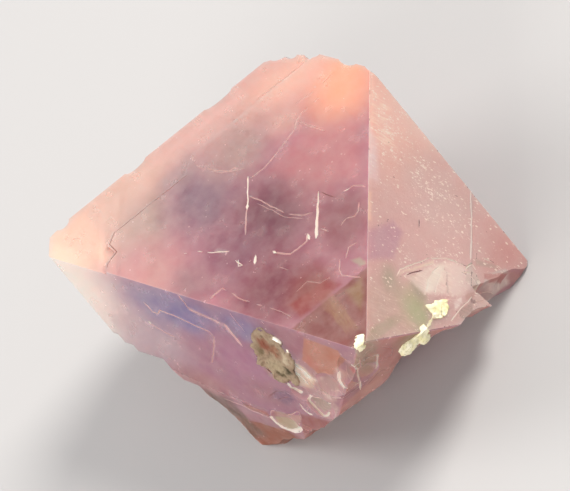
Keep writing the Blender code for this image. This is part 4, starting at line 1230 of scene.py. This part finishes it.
def ripples_group():
    """Thin arched ripples round a centre, as on a shell-shaped break: 1 on a ripple and 0 between."""
    tree, given, result = new_group("ripples", {
        "Vector": ("Vector", (0, 0, 0)), "Centre": ("Vector", (0, 0, 0)), "Uneven": ("Float", 0.5),
        "Per mm": ("Float", 2.0)}, {"Mask": "Float"})
    away = vector_maths(tree, "DISTANCE", given["Vector"], given["Centre"])
    uneven = maths(tree, "MULTIPLY_ADD", given["Uneven"], 3.5, away)
    turn = maths(tree, "FRACT", maths(tree, "MULTIPLY", uneven, given["Per mm"]))
    part = ramp(tree, given["Uneven"], 0.42, 0.55)
    tree.links.new(maths(tree, "MULTIPLY", ramp(tree, turn, 0.72, 1.0), part), result["Mask"])
    return tree


def grain_group():
    """Fine grain: a height for bumps, and a patchy value from 0 to 1 for colour and gloss."""
    tree, given, result = new_group("fine_grain", {
        "Vector": ("Vector", (0, 0, 0)), "Grains per mm": ("Float", 4.0), "Patches per mm": ("Float", 0.4)},
        {"Height": "Float", "Patches": "Float"})
    fine = node(tree, "ShaderNodeTexNoise", {
        "Vector": given["Vector"], "Scale": given["Grains per mm"], "Detail": 2.0, "Roughness": 0.6})
    wide = node(tree, "ShaderNodeTexNoise", {
        "Vector": given["Vector"], "Scale": given["Patches per mm"], "Detail": 3.0, "Roughness": 0.55})
    tree.links.new(fine.outputs[0], result["Height"])
    tree.links.new(ramp(tree, wide.outputs[0], 0.35, 0.65), result["Patches"])
    return tree


def specks_group():
    """Scattered specks: 1 on a speck and 0 between. The share is the part of cells that have one, and the
    spacing is the size of a cell."""
    tree, given, result = new_group("specks", {
        "Vector": ("Vector", (0, 0, 0)), "Spacing": ("Vector", (0.5, 0.5, 0.5)), "Share": ("Float", 0.3),
        "Radius": ("Float", 0.2)}, {"Mask": "Float"})
    local = vector_maths(tree, "DIVIDE", given["Vector"], given["Spacing"])
    cells = node(tree, "ShaderNodeTexVoronoi", {"Vector": local, "Scale": 1.0})
    chosen = node(tree, "ShaderNodeSeparateColor", {"Color": cells.outputs["Color"]})
    picked = maths(tree, "LESS_THAN", chosen.outputs[0], given["Share"])
    size = maths(tree, "MULTIPLY", given["Radius"], chosen.outputs[1])
    inside = maths(tree, "LESS_THAN", cells.outputs["Distance"], size)
    tree.links.new(maths(tree, "MULTIPLY", picked, inside), result["Mask"])
    return tree


def group_node(tree, group, inputs):
    made = tree.nodes.new("ShaderNodeGroup")
    made.node_tree = group
    for name, value in inputs.items():
        if isinstance(value, bpy.types.NodeSocket):
            tree.links.new(value, made.inputs[name])
        else:
            made.inputs[name].default_value = value
    return made.outputs


def display(code, alpha=1.0):
    """Linear colour of a display colour written as red, green and blue in hexadecimal."""
    parts = [int(code[i:i + 2], 16) / 255 for i in (0, 2, 4)]
    return (*[p / 12.92 if p < 0.04045 else ((p + 0.055) / 1.055) ** 2.4 for p in parts], alpha)


def new_material(name):
    """New material, as (material, its tree, its shader, the place in the row in millimetres)."""
    made = bpy.data.materials.new(name)
    made.use_nodes = True
    tree = made.node_tree
    place = node(tree, "ShaderNodeTexCoord")
    in_millimetres = vector_maths(tree, "MULTIPLY", place.outputs["Object"], (1 / MM,) * 3)
    return made, tree, tree.nodes["Principled BSDF"], in_millimetres


def attribute(tree, name):
    return node(tree, "ShaderNodeAttribute", attribute_name=name).outputs["Fac"]


def bump(tree, height, distance):
    """Normal of a skin with a height of up to a distance in millimetres."""
    made = node(tree, "ShaderNodeBump", {"Height": height, "Distance": distance * MM, "Strength": 1.0})
    return made.outputs[0]


def in_row(point):
    """A place in millimetres over the base."""
    return point + Vector((0, 0, BASE_DEPTH))


class Paint:
    """Colour of a material, laid on coat by coat over a first colour."""

    def __init__(self, tree, colour):
        self.tree = tree
        self.colour = colour

    def coat(self, mask, code, strength=1.0):
        if strength != 1.0:
            mask = maths(self.tree, "MULTIPLY", mask, strength)
        self.colour = blended(self.tree, mask, self.colour, display(code))


def drifted(tree, place, waves, drift):
    """The place moved about by a slow noise, so that what is painted there has uneven edges."""
    warp = noise_node(tree, place, waves, 2.0, "Color")
    shift = vector_maths(tree, "SUBTRACT", warp, (0.5, 0.5, 0.5))
    return vector_maths(tree, "MULTIPLY_ADD", shift, (drift, drift, drift), place)


PAINTED_FACES = ("top", "right", "left", "front")


def face_masks(tree):
    """A value for each growth face: 1 on it and 0 elsewhere."""
    normal = node(tree, "ShaderNodeTexCoord").outputs["Normal"]
    turned = {face: vector_maths(tree, "DOT_PRODUCT", normal, facing(*FACES[face])) for face in PAINTED_FACES}
    return {face: ramp(tree, value, 0.93, 0.97) for face, value in turned.items()}


def on_faces(tree, place):
    """The place as seen from each growth face: along it, up it and out of it."""
    places = {}
    for face in PAINTED_FACES:
        under = face_frame(face)
        away = vector_maths(tree, "SUBTRACT", place, in_row(under.translation))
        places[face] = node(tree, "ShaderNodeVectorRotate", {
            "Vector": away, "Rotation": under.to_euler()},
            rotation_type="EULER_XYZ", invert=True).outputs[0]
    return places


def paint_zones(paint, groups, places, zones, shown=PAINTED_FACES):
    for face, middle, half_sizes, code, strength in zones.values():
        if face in shown:
            paint.coat(zone(paint.tree, groups, places[face], middle, half_sizes, strength), code)


def panel_sides(outline):
    """Each side of an outline as its inward direction and its distance from the middle of the face."""
    points = [Vector(point) for point in outline]
    middle = sum(points, Vector((0, 0))) / len(points)
    sides = []
    for start, end in zip(points, points[1:] + points[:1]):
        inward = Vector((start.y - end.y, end.x - start.x)).normalized()
        if (middle - start).dot(inward) < 0:
            inward.negate()
        sides.append((*inward, -start.dot(inward)))
    return sides


def flat_and_streaks(tree, groups, place):
    """A place on a face as along, up and 1, and the streaks that run up the face there."""
    flat = vector_maths(tree, "MULTIPLY_ADD", place, (1, 1, 0), (0, 0, 1))
    return flat, group_node(tree, groups["streaks"], {"Vector": place, "Spacing": (0.22, 1.8, 1.8)})["Mask"]


def paint_panels(paint, groups, laid_flat, face, panels):
    tree = paint.tree
    flat, streaks = laid_flat[face]
    for under, outline, softness, code, strength, streaked in panels.values():
        if under == face:
            inputs = {"Vector": flat, "Softness": softness, "Strength": strength}
            inputs.update({f"Side {number + 1}": side for number, side in enumerate(panel_sides(outline))})
            mask = group_node(tree, groups[f"panel {len(outline)}"], inputs)["Mask"]
            if streaked:
                left = maths(tree, "MULTIPLY_ADD", streaks, streaked, 1 - streaked)
                mask = maths(tree, "MULTIPLY", mask, left)
            paint.coat(mask, code)


def near_mask(tree, place):
    """1 down to a depth below a face and 0 deeper in the crystal."""
    height = vector_maths(tree, "DOT_PRODUCT", place, (0, 0, 1))
    return ramp(tree, height, -NEAR_DEPTH, NEAR_FADE - NEAR_DEPTH)


# Rippled places: the face, the middle of the place, its half sizes, the middle of the ripples, how many there
# are in a millimetre, the display colour and the strength
RIPPLES = [
    ("left", (11.0, 0.8), (4.0, 2.6, 4.0), (9.0, -3.5, 0), 2.4, "e8d0c4", 0.6),
    ("left", (14.0, 6.0), (3.6, 3.2, 4.0), (12.0, 2.0, 0), 2.0, "e0c4b8", 0.45),
    ("left", (5.5, 1.2), (3.0, 1.6, 4.0), (6.5, -4.0, 0), 2.2, "d8c0c0", 0.4),
    ("left", (5.0, -4.5), (3.5, 2.0, 4.0), (5.0, -2.0, 0), 2.0, "e0c0a8", 0.4),
    ("right", (-8.0, 1.0), (3.2, 4.0, 4.0), (-13.0, -3.0, 0), 1.8, "fff2e0", 0.7),
    ("right", (-6.0, -5.0), (3.0, 3.0, 4.0), (-9.0, -7.0, 0), 2.0, "f0dcd0", 0.5),
    ("front", (-1.0, 16.5), (2.2, 5.0, 4.0), (6.0, 18.0, 0), 2.0, "ecd8b8", 0.5),
]


def paint_ripples(paint, groups, places, uneven):
    for face, middle, half_sizes, centre, per_mm, code, strength in RIPPLES:
        patch = zone(paint.tree, groups, places[face], middle, half_sizes, strength)
        ripple = group_node(paint.tree, groups["ripples"], {
            "Vector": places[face], "Centre": centre, "Uneven": uneven, "Per mm": per_mm})["Mask"]
        paint.coat(maths(paint.tree, "MULTIPLY", patch, ripple), code)


# Where the frosted face has painted glints, near-white specks: the place along and up it, the half sizes, and
# the share of cells with a glint there. Elsewhere few cells have one
GLITTER = [((6.5, 5.5), (4.0, 4.5), 0.35), ((1.0, 3.0), (6.0, 4.0), 0.5), ((-1.8, 3.2), (1.6, 1.8), 0.6),
           ((-5.2, 0.8), (1.6, 3.5), 0.6), ((4.0, 7.5), (6.0, 3.5), 0.35), ((-0.5, -0.5), (6.0, 2.5), 0.3),
           ((-3.0, -5.5), (1.2, 3.0), 0.3), ((-7.5, 5.5), (2.0, 2.5), 0.4)]
GLITTER_LEAST = 0.08
GLITTER_DEPTH = 3.0


def glitter(tree, groups, place):
    """Share of cells that have a glint, over the frosted face."""
    share = GLITTER_LEAST
    for middle, half_sizes, most in GLITTER:
        patch = zone(tree, groups, place, middle, (*half_sizes, GLITTER_DEPTH), most)
        share = maths(tree, "MAXIMUM", share, patch)
    return share


# Painted glints on the frosted face, near-white specks: how far apart they are along, up and into the face,
# and their strength
GLINT_SPACINGS = [((0.17, 0.34, 0.5), 0.85), ((0.09, 0.2, 0.5), 0.6)]
GLINT_RADIUS = 0.62

# Coats on the finishes: pale on what the breaks and worn edges lay bare, a painted highlight along step
# risers and bright lines, and painted shade in the seams, which on the dark veins is their own dark colour.
# Each has the finish, the display colour and the strength
FINISH_COATS = [("riser", "f0d2c8", 0.6), ("painted_highlight", "fff2e2", 0.95), ("shade_and_vein", "84564c", 0.75),
                ("worn", "f4dcd0", 0.15), ("broken", "f4dcd0", 0.08)]

# Roughness of the crystal: at least, how much its patches add, and what each finish adds
GLOSS_LEAST = 0.16
GLOSS_PATCHES = 0.12
DULLER = {"frosted": 0.25, "riser": 0.3, "painted_highlight": 0.4, "broken": 0.4}

# Depth of the crystal's grain: at most in millimetres, and its share on clear, frosted and broken skin
GRAIN_DEPTH = 0.06
CLEAR_GRAIN = 0.12
MORE_GRAIN = {"frosted": 0.7, "broken": 0.35}

# The crystal's own glassy values
CRYSTAL_VALUES = {
    "IOR": 1.434,
    "Specular IOR Level": 0.25,
    "Transmission Weight": 0.5,
    "Subsurface Weight": 0.6,
    "Subsurface Radius": (1.0, 0.6, 0.55),
    "Subsurface Scale": 3.0 * MM,
}
CRYSTAL_TINT = (0.85, 0.5, 0.55, 1)
CRYSTAL_TINT_DENSITY = 22.0


def paint_inside(paint, groups, place):
    """Lays on what is seen in the crystal: soft zones, panels and ripples. Gives back the faces' places."""
    tree = paint.tree
    masks = face_masks(tree)
    softly = on_faces(tree, drifted(tree, place, 0.28, 2.0))
    finely = on_faces(tree, drifted(tree, place, 1.1, 0.35))
    laid_flat = {face: flat_and_streaks(tree, groups, finely[face]) for face in PAINTED_FACES}
    paint_zones(paint, groups, softly, COLOUR_ZONES)
    inner_colour = paint.colour
    for face in PAINTED_FACES:
        under = Paint(tree, inner_colour)
        paint_zones(under, groups, softly, FACE_ZONES, (face,))
        paint_panels(under, groups, laid_flat, face, PANELS)
        paint.colour = blended(tree, masks[face], paint.colour, under.colour)
    paint_zones(paint, groups, softly, BREAK_ZONES)
    for face in ("right", "left", "front"):
        near = Paint(tree, paint.colour)
        paint_panels(near, groups, laid_flat, face, NEAR_PANELS)
        paint.colour = blended(tree, near_mask(tree, finely[face]), paint.colour, near.colour)
    paint_ripples(paint, groups, finely, noise_node(tree, place, 0.6, 2.0))
    return finely


def paint_frost(paint, groups, place, own_place, finish, grain):
    """Lays the painted glints and the grain of the frosted face on, from its own place and the place in the
    row.
    """
    tree = paint.tree
    crowd = ramp(tree, noise_node(tree, place, 0.9, 1.0), 0.45, 0.6, 0.25, 2.1)
    share = maths(tree, "MULTIPLY", glitter(tree, groups, own_place), crowd)
    for spacing, strength in GLINT_SPACINGS:
        glints = group_node(tree, groups["specks"], {
            "Vector": own_place, "Spacing": spacing, "Radius": GLINT_RADIUS, "Share": share})["Mask"]
        paint.coat(maths(tree, "MULTIPLY", finish["frosted"], glints), "fff2e2", strength)
    paint.coat(maths(tree, "MULTIPLY", finish["frosted"], grain["Height"]), "fff2ea", 0.22)


def fluorite_colour(tree, groups, place, finish, grain):
    """Base colour of the crystal: what is seen in it, then haze, frost with painted glints, dust, pale bare
    edges, painted highlights and painted shade.
    """
    whole = Paint(tree, display(BODY_COLOUR))
    finely = paint_inside(whole, groups, place)
    whole.coat(grain["Patches"], "ecdcd2", 0.14)
    paint_frost(whole, groups, place, finely["right"], finish, grain)
    dust = group_node(tree, groups["specks"], {
        "Vector": place, "Spacing": (0.5, 0.5, 0.5), "Share": 0.2, "Radius": 0.2})["Mask"]
    whole.coat(dust, "ecd2cc", 0.45)
    for name, code, strength in FINISH_COATS:
        whole.coat(finish[name], code, strength)
    return whole.colour


def fluorite_material(groups):
    """Hazy glassy crystal: painted colour, plain transmission and a plain pink tint in its depth."""
    made, tree, shader, place = new_material("fluorite")
    finish = {name: attribute(tree, name) for name in FINISHES}
    grain = group_node(tree, groups["grain"], {"Vector": place, "Grains per mm": 5.0, "Patches per mm": 0.7})
    tree.links.new(fluorite_colour(tree, groups, place, finish, grain), shader.inputs["Base Color"])
    gloss = maths(tree, "MULTIPLY_ADD", grain["Patches"], GLOSS_PATCHES, GLOSS_LEAST)
    for name, more in DULLER.items():
        gloss = maths(tree, "MULTIPLY_ADD", finish[name], more, gloss)
    tree.links.new(gloss, shader.inputs["Roughness"])
    rough = CLEAR_GRAIN
    for name, more in MORE_GRAIN.items():
        rough = maths(tree, "MULTIPLY_ADD", finish[name], more, rough)
    height = maths(tree, "MULTIPLY", grain["Height"], rough)
    tree.links.new(bump(tree, height, GRAIN_DEPTH), shader.inputs["Normal"])
    for name, value in CRYSTAL_VALUES.items():
        shader.inputs[name].default_value = value
    tint = node(tree, "ShaderNodeVolumeAbsorption", {"Color": CRYSTAL_TINT, "Density": CRYSTAL_TINT_DENSITY})
    tree.links.new(tint.outputs[0], tree.nodes["Material Output"].inputs["Volume"])
    return made


def cream_material(groups):
    made, tree, shader, place = new_material("cream_crust")
    chalk = group_node(tree, groups["grain"], {"Vector": place, "Grains per mm": 6.0, "Patches per mm": 1.2})
    paint = Paint(tree, display("f4ecd0"))
    paint.coat(chalk["Patches"], "e0d69e", 0.9)
    pits = group_node(tree, groups["specks"], {
        "Vector": place, "Spacing": (0.45, 0.45, 0.45), "Share": 0.25, "Radius": 0.4})["Mask"]
    paint.coat(pits, "a08c64", 0.6)
    tree.links.new(paint.colour, shader.inputs["Base Color"])
    tree.links.new(bump(tree, chalk["Height"], 0.1), shader.inputs["Normal"])
    shader.inputs["Roughness"].default_value = 0.9
    return made


# Stains on the brown crust, the last two being painted glints on its knobs: the place along and up the left
# face, the half sizes, the colour and the strength
BROWN_STAINS_AND_GLINTS = [
    ((6.9, 4.6), (1.8, 1.6), "948468", 0.8),
    ((6.3, 7.1), (1.1, 1.3), "74402c", 1.2),
    ((7.3, 6.6), (0.7, 1.2), "7c4a32", 0.9),
    ((5.5, 6.2), (0.6, 1.1), "5c4c2e", 0.8),
    ((8.1, 4.5), (0.8, 0.6), "3a3016", 1.2),
    ((7.1, 3.8), (1.0, 0.5), "4c3e22", 1.0),
    ((8.3, 5.9), (0.6, 0.9), "b4a48a", 0.7),
    # Painted glints on the knobs
    ((8.2, 8.3), (0.7, 0.4), "fff8e8", 1.6),
    ((8.95, 7.3), (0.4, 0.5), "fff2dc", 1.6),
]


def brown_material(groups):
    made, tree, shader, place = new_material("brown_crust")
    crumbs = group_node(tree, groups["grain"], {"Vector": place, "Grains per mm": 4.0, "Patches per mm": 1.6})
    paint = Paint(tree, display("846c56"))
    paint.coat(crumbs["Patches"], "98866e", 0.7)
    stained = on_faces(tree, drifted(tree, place, 1.4, 0.8))["left"]
    for (a, b), (half_along, half_up), code, strength in BROWN_STAINS_AND_GLINTS:
        paint.coat(zone(tree, groups, stained, (a, b), (half_along, half_up, 2.0), strength), code)
    grit = group_node(tree, groups["specks"], {
        "Vector": place, "Spacing": (0.4, 0.4, 0.4), "Share": 0.35, "Radius": 0.45})["Mask"]
    paint.coat(grit, "4e4028", 0.5)
    tree.links.new(paint.colour, shader.inputs["Base Color"])
    tree.links.new(bump(tree, crumbs["Height"], 0.15), shader.inputs["Normal"])
    shader.inputs["Roughness"].default_value = 0.85
    return made


def remeshed(item, voxel):
    """Joins what overlaps in the object into one skin of even cells."""
    modifier = item.modifiers.new("skin", "REMESH")
    modifier.mode = "VOXEL"
    modifier.voxel_size = voxel
    return baked(item)


def roughened(item, depth, per_mm, seed):
    """Moves the skin in and out by a crumbly noise."""
    mesh = item.data
    normals = [vert.normal.copy() for vert in mesh.vertices]
    for vert, normal in zip(mesh.vertices, normals):
        bump_here = noise.fractal(vert.co * per_mm + Vector((seed, 0, 0)), 0.8, 2.0, 4)
        vert.co += normal * depth * bump_here
    return item


def add_slab(bm, place, outline, low, high):
    """Adds a flat slab with an outline in a frame's plane."""
    join_rings(bm, [ring(bm, place, outline, level) for level in (low, high)])


def make_cream_crust(name, slabs, lumps, seed):
    """Crumbly skin round slabs and lumps that overlap."""
    bm = bmesh.new()
    for face, outline, low, high in slabs:
        add_slab(bm, face_frame(face), outline, low, high)
    for face, middle, half_sizes in lumps:
        ball = face_frame(face) @ Matrix.Translation(middle) @ Matrix.Diagonal((*half_sizes, 1))
        bmesh.ops.create_icosphere(bm, subdivisions=3, radius=1, matrix=ball)
    crust = remeshed(new_object(name, bm), CRUST_CELL)
    return roughened(crust, *CREAM_CRUMBS, seed)


def ragged(point):
    """The point pushed a little aside, for the ragged edge of the brown crust."""
    push = Vector((noise.noise(Vector((*point, 3))), noise.noise(Vector((*point, 6)))))
    return point + push * BROWN_RAGGED


def make_brown_crust():
    """Crumbly skin that fills the pit and spreads over its rim, with a few knobs that carry painted glints.
    """
    bm = bmesh.new()
    rim = resampled(grown(BROWN_OUTLINE + BROWN_OUTLINE[:1], BROWN_OVERLAP), BROWN_STEP)[:-1]
    add_slab(bm, face_frame("left"), [ragged(point) for point in rim], -BROWN_PIT_DEPTH, BROWN_TOP)
    for *middle, radius in BROWN_KNOBS:
        ball = face_frame("left") @ Matrix.Translation(middle)
        bmesh.ops.create_icosphere(bm, subdivisions=3, radius=radius, matrix=ball)
    crust = remeshed(new_object("brown_crust_skin", bm), BROWN_CELL)
    return roughened(crust, *BROWN_CRUMBS, 8.0)


# Edges that turn by more than these angles in degrees stay sharp
CRYSTAL_SHARP = 30
CRUST_SHARP = 60


def to_row(item, sharp):
    """Puts a finished piece in the row's frame, in metres, smooth up to its sharp edges."""
    item.data.transform(TO_ROW)
    item.data.shade_smooth()
    item.data.set_sharp_from_angle(angle=math.radians(sharp))
    return item


def place_piece(item, made, replaced):
    item.data.materials.clear()
    item.data.materials.append(made)
    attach(item, "root")
    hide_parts(replaced)


def make_pieces():
    groups = {"zone": zone_group(), "streaks": streaks_group(), "ripples": ripples_group(),
              "grain": grain_group(), "specks": specks_group()}
    groups.update({f"panel {sides}": panel_group(sides) for sides in PANEL_SIDES})
    crystal = make_crystal()
    mark_finishes(crystal)
    crystal = to_row(crystal, CRYSTAL_SHARP)
    place_piece(crystal, fluorite_material(groups), "fluorite_crystal")
    crust = to_row(make_brown_crust(), CRUST_SHARP)
    place_piece(crust, brown_material(groups), "brown_crust")
    cream = cream_material(groups)
    crusts = (("cream_crust_front", FRONT_CRUST_SLABS, FRONT_CRUST_LUMPS, 1.0),
              ("cream_crust_side", SIDE_CRUST_SLABS, SIDE_CRUST_LUMPS, 2.0))
    for name, slabs, lumps, seed in crusts:
        crust = to_row(make_cream_crust(f"{name}_skin", slabs, lumps, seed), CRUST_SHARP)
        place_piece(crust, cream, name)


# Camera: long lens, from (compass direction, elevation) and rolled, aimed beside the growth centre
CAMERA_AZIMUTH = -83.12
CAMERA_ELEVATION = 48.52
CAMERA_ROLL = -43.83
CAMERA_DISTANCE = 0.5
CAMERA_AIM = (-4.244, 2.608)
PICTURE_WIDTH = 50.4
SENSOR_WIDTH = 36.0


def make_camera():
    data = bpy.data.cameras.new("camera")
    data.sensor_width = SENSOR_WIDTH
    data.lens = SENSOR_WIDTH * CAMERA_DISTANCE / (PICTURE_WIDTH * MM)
    camera = bpy.data.objects.new("camera", data)
    bpy.context.scene.collection.objects.link(camera)
    back = facing(CAMERA_AZIMUTH, math.sin(math.radians(CAMERA_ELEVATION)))
    level = Vector((0, 0, 1)).cross(back).normalized()
    turn = Matrix.Rotation(math.radians(CAMERA_ROLL), 3, back)
    right = turn @ level
    up = back.cross(right)
    pose = Matrix((right, up, back)).transposed().to_4x4()
    aim = (right * CAMERA_AIM[0] + up * CAMERA_AIM[1] + Vector((0, 0, BASE_DEPTH))) * MM
    pose.translation = aim + back * CAMERA_DISTANCE
    camera.matrix_world = pose
    bpy.context.scene.camera = camera


# Studio. A lamp has its compass direction, elevation, distance and size in metres, power and colour
LAMPS = {
    "key": (15, 48, 0.6, 0.25, 4.5, (1.0, 0.96, 0.92)),
    "back_fill": (150, 40, 0.7, 0.4, 3.0, (1.0, 0.97, 0.95)),
    "front_fill": (-140, 30, 0.7, 0.4, 3.0, (1.0, 0.96, 0.93)),
}
SKY_COLOUR = (0.95, 0.96, 1.0, 1)
SKY_STRENGTH = 0.6
FLOOR_HALF = 1.5
FLOOR_GAP = 0.05
FLOOR_COLOUR = (0.38, 0.375, 0.37, 1)
FLOOR_ROUGHNESS = 0.8


def area_light(name, azimuth, elevation, distance, size, power, colour):
    data = bpy.data.lights.new(name, "AREA")
    data.shape = "DISK"
    data.size = size
    data.energy = power
    data.color = colour
    light = bpy.data.objects.new(name, data)
    bpy.context.scene.collection.objects.link(light)
    back = facing(azimuth, math.sin(math.radians(elevation)))
    light.location = back * distance
    light.rotation_euler = back.to_track_quat("Z", "Y").to_euler()


def make_studio():
    """Soft light from all round, three large lamps and a plain pale floor."""
    world = bpy.data.worlds.new("studio")
    bpy.context.scene.world = world
    world.use_nodes = True
    background = world.node_tree.nodes["Background"]
    background.inputs["Color"].default_value = SKY_COLOUR
    background.inputs["Strength"].default_value = SKY_STRENGTH
    for name, values in LAMPS.items():
        area_light(name, *values)
    bm = bmesh.new()
    bmesh.ops.create_grid(bm, x_segments=1, y_segments=1, size=FLOOR_HALF)
    floor = new_object("floor", bm)
    floor.location = (0, 0, -FLOOR_GAP * MM)
    made, tree, shader, place = new_material("floor")
    shader.inputs["Base Color"].default_value = FLOOR_COLOUR
    shader.inputs["Roughness"].default_value = FLOOR_ROUGHNESS
    floor.data.materials.append(made)
    bpy.context.scene.view_settings.view_transform = "Standard"


make_camera()
make_studio()
make_pieces()
